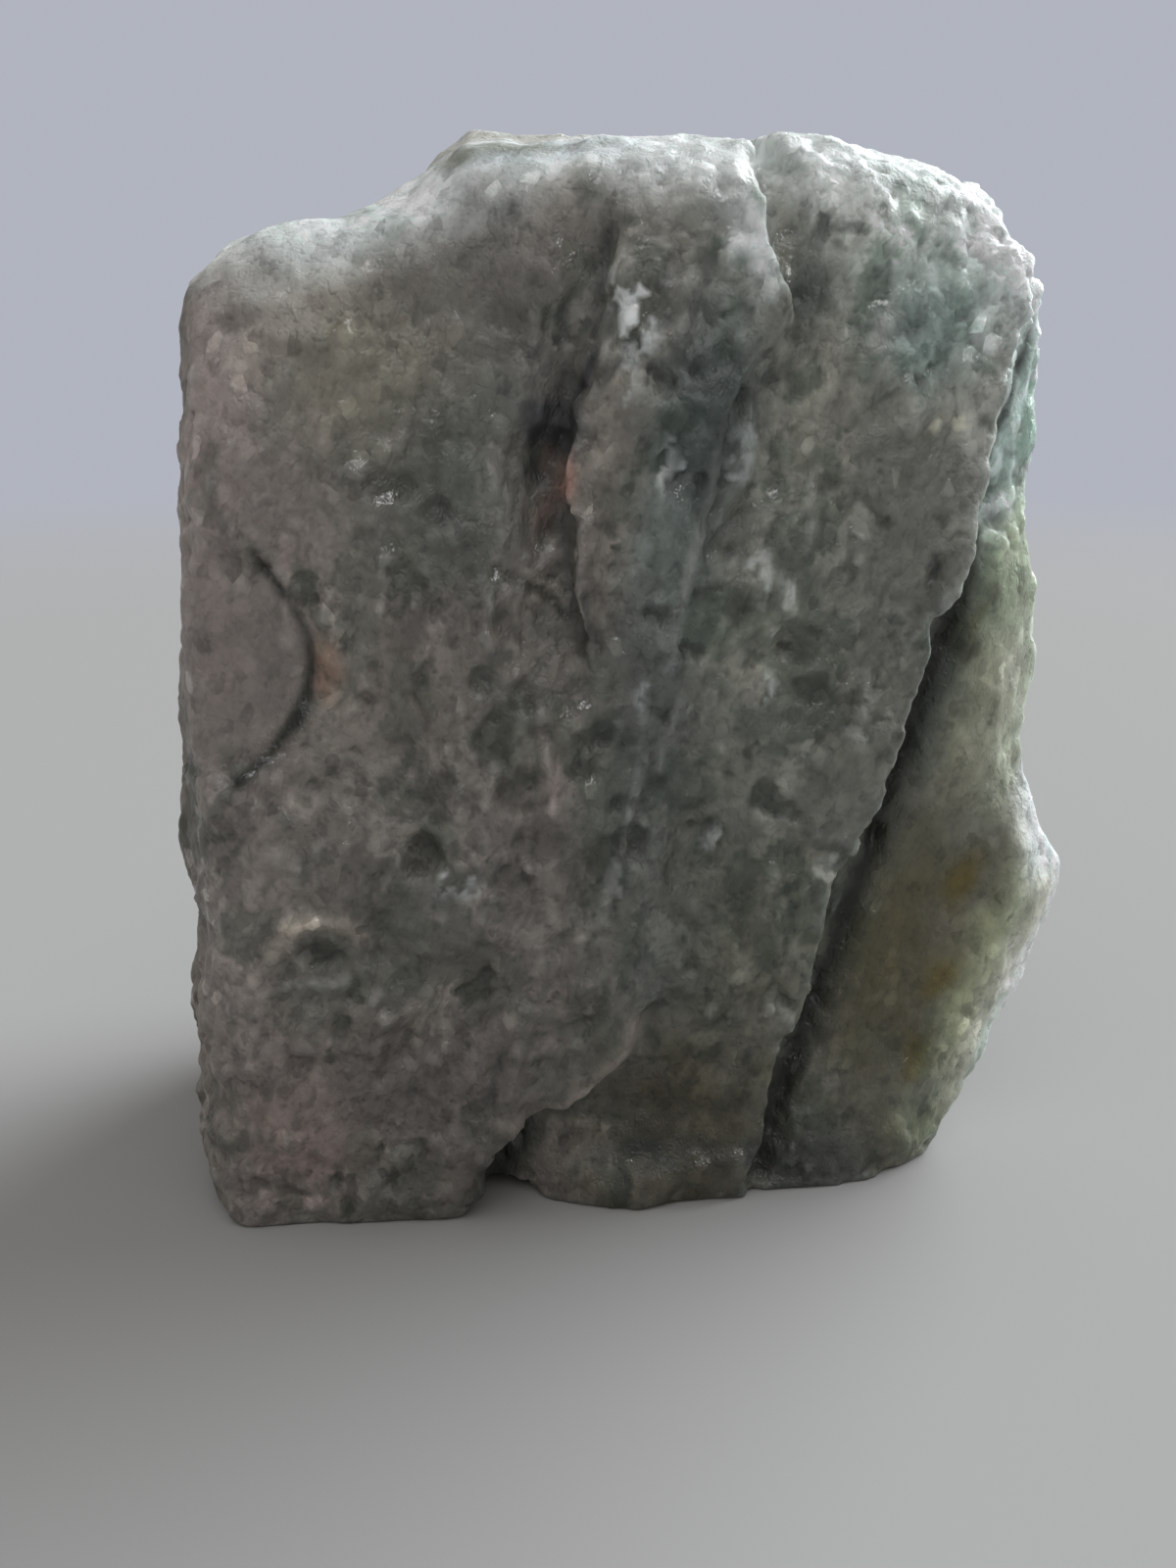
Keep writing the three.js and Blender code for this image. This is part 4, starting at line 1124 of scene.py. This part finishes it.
    def _layers(self, points: np.ndarray, bend: float) -> np.ndarray:
        """Points in the frame of the rock's layers.

        Args:
            points: one row for each point, in millimetres.
            bend: how far the layers wander, in millimetres.

        Returns:
            For each point the way across the layers, into the stone, and along the layers.
        """
        x, y, z = points.T
        across = x * math.cos(LAYER_LEAN) - z * math.sin(LAYER_LEAN)
        along = x * math.sin(LAYER_LEAN) + z * math.cos(LAYER_LEAN)
        wavy = np.stack([waves(points, self.bend_mm, Pattern.LAYERS + axis) for axis in range(3)], axis=1)
        return np.stack([across, y, along], axis=1) + bend * wavy

    def _torn(self, points: np.ndarray, reach: float) -> np.ndarray:
        """Points moved to and fro by about reach, in millimetres, which tears outlines read there."""
        return points + reach * drift(points, self.tear_length_mm, Pattern.TORN)

    def _cut_bends(self, points: np.ndarray) -> np.ndarray:
        """Noise that bends the edges of pits and cracks, alike in their relief and in their paint."""
        return waves(points, self.cut_bend_mm, Pattern.CUTS)

    def _grains(self, bent: np.ndarray) -> Grains:
        """How points in the frame of the layers lie among the sugary grains."""
        return grains(bent / GRAIN_STRETCH, self.grain_mm, Pattern.GRAINS)

    def _dark_grains(self, bent: np.ndarray) -> np.ndarray:
        """Where dark green grains have fallen out or show, from 0 to 1."""
        return DARK_GRAINS.share(bent / GRAIN_STRETCH) * DARK_GROUPS.share(bent)

    def _height(self, points: np.ndarray, normals: np.ndarray) -> np.ndarray:
        """How far each point of the skin stands out or lies in.

        Args:
            points: one row for each point, in millimetres.
            normals: their outward directions.

        Returns:
            Millimetres for each point, which are 0 on the flat feet.
        """
        bent = self._layers(points, self.bend_depth_mm)
        bends = self._cut_bends(points)
        relief = np.tile(Fracture.SUGARY.value.values(), (len(points), 1))
        for part in BROKEN_PARTS:
            relief = blend(relief, part.fracture.value.values(), part.place.share(points, bends))
        lumps, steps, grain_height, facets, pits = relief.T
        grain = self._grains(bent)
        height = lumps * broken_waves(bent, self.lump_mm, Pattern.LUMPS)
        rises = broken_waves(bent / STEP_STRETCH, self.step_mm, Pattern.STEPS)
        height += steps * terraces(rises, self.steps_per_rise)
        height += grain_height * GRAIN_STEEPNESS * (GRAIN_LEVEL - grain.reach)
        height += facets * grain.facet
        height -= pits * self._dark_grains(bent)
        torn = self._torn(points, self.spot_tear_mm)
        for pit in PITS:
            height -= self.pit_depth_mm * pit.share(torn, bends)
        for crack in CRACKS:
            height -= crack.depth * crack.share(points, bends)
        above_ground = ramp(points[:, 2], 0.0, self.worn_feet_mm)
        not_underneath = ramp(normals[:, 2], *UNDERNEATH)
        return height * above_ground * not_underneath

    def _worn_edges(self, mesh: bpy.types.Mesh, points: np.ndarray) -> np.ndarray:
        """Smooths the points where edges have worn away.

        Args:
            mesh: whose edges link the points.
            points: one row for each point, in millimetres.

        Returns:
            The smoothed points.
        """
        ragged = waves(points, self.cut_bend_mm, Pattern.WEAR)
        worn = np.max([place.share(points, ragged) for place in WORN_EDGES], axis=0)
        return blend(points, self._spread(mesh, points, self.edge_passes), worn)

    def _sideways(self, points: np.ndarray) -> np.ndarray:
        """Small moves in every direction, which leave flat faces alone and make edges ragged."""
        moves = self.ragged_mm * drift(points, self.ragged_length_mm, Pattern.SIDEWAYS)
        return moves * ramp(points[:, 2], 0.0, self.ragged_from_mm)[:, None]

    def _thin(self, stone: bpy.types.Object, normals: np.ndarray) -> None:
        """Thins the mesh to its number of triangles, and more where it is seldom seen.

        Args:
            stone: the object.
            normals: outward directions of its points, of which those that face back are seldom seen.
        """
        group = stone.vertex_groups.new(name="seldom_seen")
        seldom = np.round(np.clip(self.side_share + normals[:, 1], 0, 1) * self.back_steps).astype(int)
        for step in range(self.back_steps + 1):
            group.add(np.nonzero(seldom == step)[0].tolist(), step / self.back_steps, "REPLACE")
        faces = 2 * len(stone.data.polygons)
        thinned = stone.modifiers.new("thinned", "DECIMATE")
        thinned.ratio = min(1.0, self.most_triangles / faces)
        thinned.use_collapse_triangulate = True
        thinned.vertex_group = group.name
        thinned.vertex_group_factor = self.back_share
        self._apply(stone)
        stone.data.shade_smooth()

    def _spread(self, mesh: bpy.types.Mesh, values: np.ndarray, passes: int) -> np.ndarray:
        """Averages each point's values with its neighbours', again and again.

        Args:
            mesh: whose edges link the points.
            values: one row for each point.
            passes: how often they are averaged.

        Returns:
            The averaged rows.
        """
        ends = np.empty(len(mesh.edges) * 2, dtype=np.int64)
        mesh.edges.foreach_get("vertices", ends)
        start, stop = ends.reshape(-1, 2).T
        count = len(values)
        links = np.bincount(start, minlength=count) + np.bincount(stop, minlength=count)
        for _ in range(passes):
            values = np.stack([
                np.bincount(start, column[stop], count) + np.bincount(stop, column[start], count)
                for column in values.T
            ], axis=1) / links[:, None]
        return values

    def _paint(self, mesh: bpy.types.Mesh) -> None:
        """Gives every point of the skin its colour, with light and shade painted into it, its gloss and its
        place in the rock's layers.

        Args:
            mesh: the finished skin, which keeps them as "tint", "gloss" and "layers".
        """
        skin = self._skin(mesh)
        tint = self._stains_and_painted_light(mesh, skin)
        tint = self._grained(tint, skin)
        tint = self._painted_hollow_shade(tint, mesh, skin)
        tint = self._cut(tint, skin)
        tint = self._paint_light_and_shade(tint, skin)
        colours = mesh.color_attributes.new("tint", "FLOAT_COLOR", "POINT")
        colours.data.foreach_set("color", np.hstack([tint, np.ones((len(tint), 1))]).ravel())
        gloss = mesh.attributes.new("gloss", "FLOAT", "POINT")
        gloss.data.foreach_set("value", self._gloss(skin))
        layers = mesh.attributes.new("layers", "FLOAT_VECTOR", "POINT")
        finest = self._layers(skin.points, self.finest_bend_mm) / GRAIN_STRETCH
        layers.data.foreach_set("vector", finest.ravel())

    def _skin(self, mesh: bpy.types.Mesh) -> Skin:
        """Works out what the paint reads.

        Args:
            mesh: the finished skin.

        Returns:
            What there is at each of its points.
        """
        points, normals = self._surface(mesh)
        bent = self._layers(points, self.bend_depth_mm)
        ragged = broken_waves(points, self.paint_edge_mm, Pattern.PAINT_EDGES)
        sugar = self._grains(bent).shade - 0.5
        left = ramp(points[:, 0], *LEFT_FROM_X)
        clear = np.max([place.share(points, ragged) for place in CLEAR_PARTS], axis=0)
        cloudy = (1 - CALM_WHERE_CLEAR * clear) * (1 - CALM_ON_LEFT * left)
        return Skin(points, normals, bent, ragged, sugar, left, cloudy)

    def _stains_and_painted_light(self, mesh: bpy.types.Mesh, skin: Skin) -> np.ndarray:
        """The rock's own colour, its stains, and painted light and shade: whiter where the skin faces up, and
        painted shadow and light in some of the patches.

        Args:
            mesh: the finished skin.
            skin: what there is at its points.

        Returns:
            A colour for each point.
        """
        upward = self._spread(mesh, skin.normals, self.facing_passes)[:, 2]
        tint = np.tile(Tint.GREEN_GREY.value, (len(skin.points), 1))
        tint = blend(tint, Tint.WARM_GREY.value, skin.left)
        tint = blend(tint, Tint.MAUVE.value, skin.left * MAUVE_PATCHES.share(skin.points), strength=0.35)
        tint = blend(tint, Tint.SLATE_GREEN.value, GREEN_PATCHES.share(skin.points), strength=0.45)
        # Painted light: the skin is whiter where it faces up, towards the light from above.
        tint = blend(tint, Tint.WHITE.value, ramp(upward, *PAINTED_TOP_LIGHT_FROM_FACING), strength=0.38)
        broken_up = 1 - MOTTLED * ramp(skin.points[:, 1], *MOTTLED_FROM_Y) * MOTTLES.share(skin.points)
        torn = self._torn(skin.points, self.patch_tear_mm)
        for patch in STAINS_AND_PAINTED_LIGHT:
            share = broken_up * patch.place.share(torn, skin.ragged)
            tint = blend(tint, patch.tint.value, share, patch.strength)
        return tint

    def _grained(self, tint: np.ndarray, skin: Skin) -> np.ndarray:
        """Breaks the colour up into patches, grains, crystals and specks.

        Args:
            tint: a colour for each point.
            skin: what there is at the points.

        Returns:
            The new colours.
        """
        long = skin.bent / PATCH_STRETCH
        angular = long + skin.sugar[:, None] * GRAIN_JAGS
        dark = skin.cloudy * DARK_PATCHES.share(angular)
        pale = skin.cloudy * PALE_PATCHES.share(angular) * (1 - dark)
        tint = blend(tint, tint * np.array(DARK_PATCH), dark, strength=0.85)
        tint = blend(tint, np.minimum(PALE_PATCH * tint, Tint.WHITE.value), pale, strength=0.8)
        large = grains(long, self.large_grain_mm, Pattern.LARGE_GRAINS).shade - 0.5
        soft = broken_waves(skin.bent, self.shade_mm, Pattern.SHADES)
        shade = LARGE_GRAIN_SHADE * large + SUGAR_SHADE * skin.sugar + WAVE_SHADE * soft
        tint = tint * (1 + skin.cloudy * shade)[:, None]
        torn = self._torn(skin.points, self.spot_tear_mm)
        for spot in SPOTS:
            share = spot.place.share(torn, skin.ragged) * ramp(skin.sugar, *LIT_FROM_SUGAR)
            tint = blend(tint, spot.tint.value, share, spot.strength)
        tint = blend(tint, Tint.DARK_GREEN.value, skin.cloudy * self._dark_grains(skin.bent), strength=0.7)
        specks = SPECKS.share(skin.bent) * SPECK_GROUPS.share(skin.bent)
        return blend(tint, Tint.DARK_GREEN.value, skin.cloudy * specks, strength=0.6)

    def _painted_hollow_shade(self, tint: np.ndarray, mesh: bpy.types.Mesh, skin: Skin) -> np.ndarray:
        """Paints shade into hollows, and paints edges paler, partly as pale chips and partly as a painted
        highlight.

        Args:
            tint: a colour for each point.
            mesh: the finished skin.
            skin: what there is at its points.

        Returns:
            The new colours.
        """
        small, wide = (
            ((self._spread(mesh, skin.points, passes) - skin.points) * skin.normals).sum(axis=1)
            for passes in (self.hollow_passes, self.wide_hollow_passes)
        )
        dark = Tint.DARK_GREEN.value
        tint = blend(tint, Tint.WHITE.value, ramp(-small, *PALE_CHIP_AND_HIGHLIGHT_FROM_EDGE), strength=0.1)
        tint = blend(tint, dark, skin.cloudy * ramp(small, *PAINTED_SHADE_FROM_HOLLOW), strength=0.3)
        return blend(tint, dark, skin.cloudy * ramp(wide, *PAINTED_SHADE_FROM_WIDE_HOLLOW), strength=0.4)

    def _cut(self, tint: np.ndarray, skin: Skin) -> np.ndarray:
        """Colours the pits and the cracks.

        Args:
            tint: a colour for each point.
            skin: what there is at the points.

        Returns:
            The new colours.
        """
        bends = self._cut_bends(skin.points)
        torn = self._torn(skin.points, self.spot_tear_mm)
        for pit in PITS:
            tint = blend(tint, Tint.BLACK_GREEN.value, pit.share(torn, bends), strength=0.4)
        for crack in CRACKS:
            tint = blend(tint, crack.tint.value, crack.share(skin.points, bends), crack.strength)
        return tint

    def _paint_light_and_shade(self, tint: np.ndarray, skin: Skin) -> np.ndarray:
        """Paints light and shade into the colour: lighter near the top, darker low in the middle, and lighter
        or darker place by place.

        Args:
            tint: a colour for each point.
            skin: what there is at the points.

        Returns:
            The new colours.
        """
        tint = tint * self._painted_height_light(skin.points)[:, None]
        even = np.ones_like(tint)
        for glow in PAINTED_LIGHT_AND_SHADE:
            tint = tint * blend(even, glow.factor, glow.place.share(skin.points, skin.ragged))
        return np.minimum(tint, LIGHTEST)

    def _painted_height_light(self, points: np.ndarray) -> np.ndarray:
        """Painted light and shade: how much lighter the rock is painted near its top and its edges, and
        darker low in its middle.

        Args:
            points: one row for each point, in millimetres.

        Returns:
            What each point's colour is multiplied by.
        """
        heights, shares = zip(*self.painted_light_by_height)
        share = np.interp(points[:, 2], heights, shares)
        from_left, from_right = PAINTED_SHADE_FROM_X
        thick = ramp(points[:, 0], *from_left) * ramp(points[:, 0], *from_right)
        return np.where(share < 1, 1 + (share - 1) * thick, share)

    def _gloss(self, skin: Skin) -> np.ndarray:
        """How glossy the skin is, most where it broke along its crystals.

        Args:
            skin: what there is at the points.

        Returns:
            A number from 0 to 1 for each point.
        """
        gloss = SHEEN * GLOSSY_PARTS.share(skin.points)
        for part in BROKEN_PARTS:
            if part.fracture is Fracture.CRYSTALLINE:
                gloss = np.maximum(gloss, part.place.share(skin.points, skin.ragged))
        return gloss

    def _dress(self, stone: bpy.types.Object) -> None:
        """Gives the stone its material and its body, and takes the plain solid's place.

        Args:
            stone: the finished skin.
        """
        stone.data.materials.append(self.finish.material())
        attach(stone, "root")
        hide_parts(NODE)


# ---------------------------------------------------------------- the studio


@dataclass(frozen=True)
class Lamp:
    """A soft lamp, so far away that it lights the whole studio evenly.

    Attributes:
        name: of the lamp.
        side: the way towards it from the stone.
        width: degrees of the view that it fills, which softens its shadows.
        strength: of its light.
        colour: of its light.
        glints_only: lights only what shines.
    """

    name: str
    side: Point
    width: float
    strength: float
    colour: Colour
    glints_only: bool = False

    def build(self) -> None:
        """Makes the lamp."""
        data = bpy.data.lights.new(self.name, "SUN")
        data.angle = math.radians(self.width)
        data.energy = self.strength
        data.color = self.colour
        lamp = bpy.data.objects.new(self.name, data)
        lamp.location = self.side
        lamp.rotation_euler = Vector(self.side).to_track_quat("Z", "Y").to_euler()
        lamp.visible_diffuse = not self.glints_only
        bpy.context.scene.collection.objects.link(lamp)


@dataclass
class Studio:
    """A plain pale floor, soft lamps and the camera.

    Attributes:
        floor_radius: in metres.
        floor_sides: corners of the round floor.
        floor: its finish.
        wall: colour of the surroundings as they are seen.
        room_light: colour of the light that comes from all around.
        lamps: the lamps.
        camera_place: in metres.
        camera_yaw, camera_pitch: degrees that the camera looks to the right and down.
        lens, film_height: in millimetres.
        nearest_seen: nearest distance that the camera sees, in metres.
    """

    floor_radius: float = 30.0
    floor_sides: int = 96
    floor: FloorFinish = FloorFinish()
    wall: Colour = (0.44, 0.46, 0.52)
    room_light: Colour = (0.22, 0.21, 0.195)
    lamps: tuple[Lamp, ...] = (
        Lamp("window", (0.9, 0.5, 0.7), 50.0, 4.2, (0.92, 0.97, 1.0)),
        Lamp("ceiling", (-0.1, -0.32, 1.0), 70.0, 1.0, (0.96, 0.98, 1.0)),
        Lamp("glints", (0.35, -0.8, 0.9), 8.0, 0.7, (1.0, 1.0, 1.0), True),
    )
    camera_place: Point = (-0.015235, -0.112993, 0.07)
    camera_yaw: float = 5.95
    camera_pitch: float = 17.5
    lens: float = 27.0
    film_height: float = 36.0
    nearest_seen: float = 0.005

    def build(self) -> bpy.types.Object:
        """Makes the floor, the surroundings, the lamps and the camera.

        Returns:
            The floor.
        """
        floor = self._lay_floor()
        self._surround()
        for lamp in self.lamps:
            lamp.build()
        self._point_camera()
        bpy.context.scene.view_settings.view_transform = "Standard"
        return floor

    def _lay_floor(self) -> bpy.types.Object:
        """Lays a round floor under the stone.

        Returns:
            The floor.
        """
        turns = [2 * math.pi * n / self.floor_sides for n in range(self.floor_sides)]
        rim = [(self.floor_radius * math.cos(a), self.floor_radius * math.sin(a), 0.0) for a in turns]
        mesh = bpy.data.meshes.new("studio_floor")
        mesh.from_pydata(rim, [], [list(range(len(rim)))])
        mesh.materials.append(self.floor.material(self.wall))
        floor = bpy.data.objects.new("studio_floor", mesh)
        bpy.context.scene.collection.objects.link(floor)
        return floor

    def _surround(self) -> None:
        """Surrounds the studio with an even pale wall, and with the dim light of a room."""
        world = bpy.data.worlds.new("studio")
        bpy.context.scene.world = world
        graph = Graph(world, "Background")
        seen = graph.node("ShaderNodeLightPath", {}, {}, "Is Camera Ray")
        graph.dress({"Color": graph.mix(seen, (*self.room_light, 1), (*self.wall, 1))})

    def _point_camera(self) -> None:
        """Places the camera."""
        data = bpy.data.cameras.new("camera")
        data.sensor_fit = "VERTICAL"
        data.sensor_height = self.film_height
        data.lens = self.lens
        data.clip_start = self.nearest_seen
        camera = bpy.data.objects.new("camera", data)
        camera.location = self.camera_place
        camera.rotation_euler = (math.radians(90 - self.camera_pitch), 0, -math.radians(self.camera_yaw))
        bpy.context.scene.collection.objects.link(camera)
        bpy.context.scene.camera = camera


def main() -> None:
    """Builds the stone and its studio, and reports them."""
    logging.basicConfig(level=logging.INFO, format="%(name)s %(message)s")
    for maker in (Stone(), Studio()):
        piece = maker.build()
        log.info("%s: %d faces", piece.name, len(piece.data.polygons))


if __name__ == "__main__":
    main()
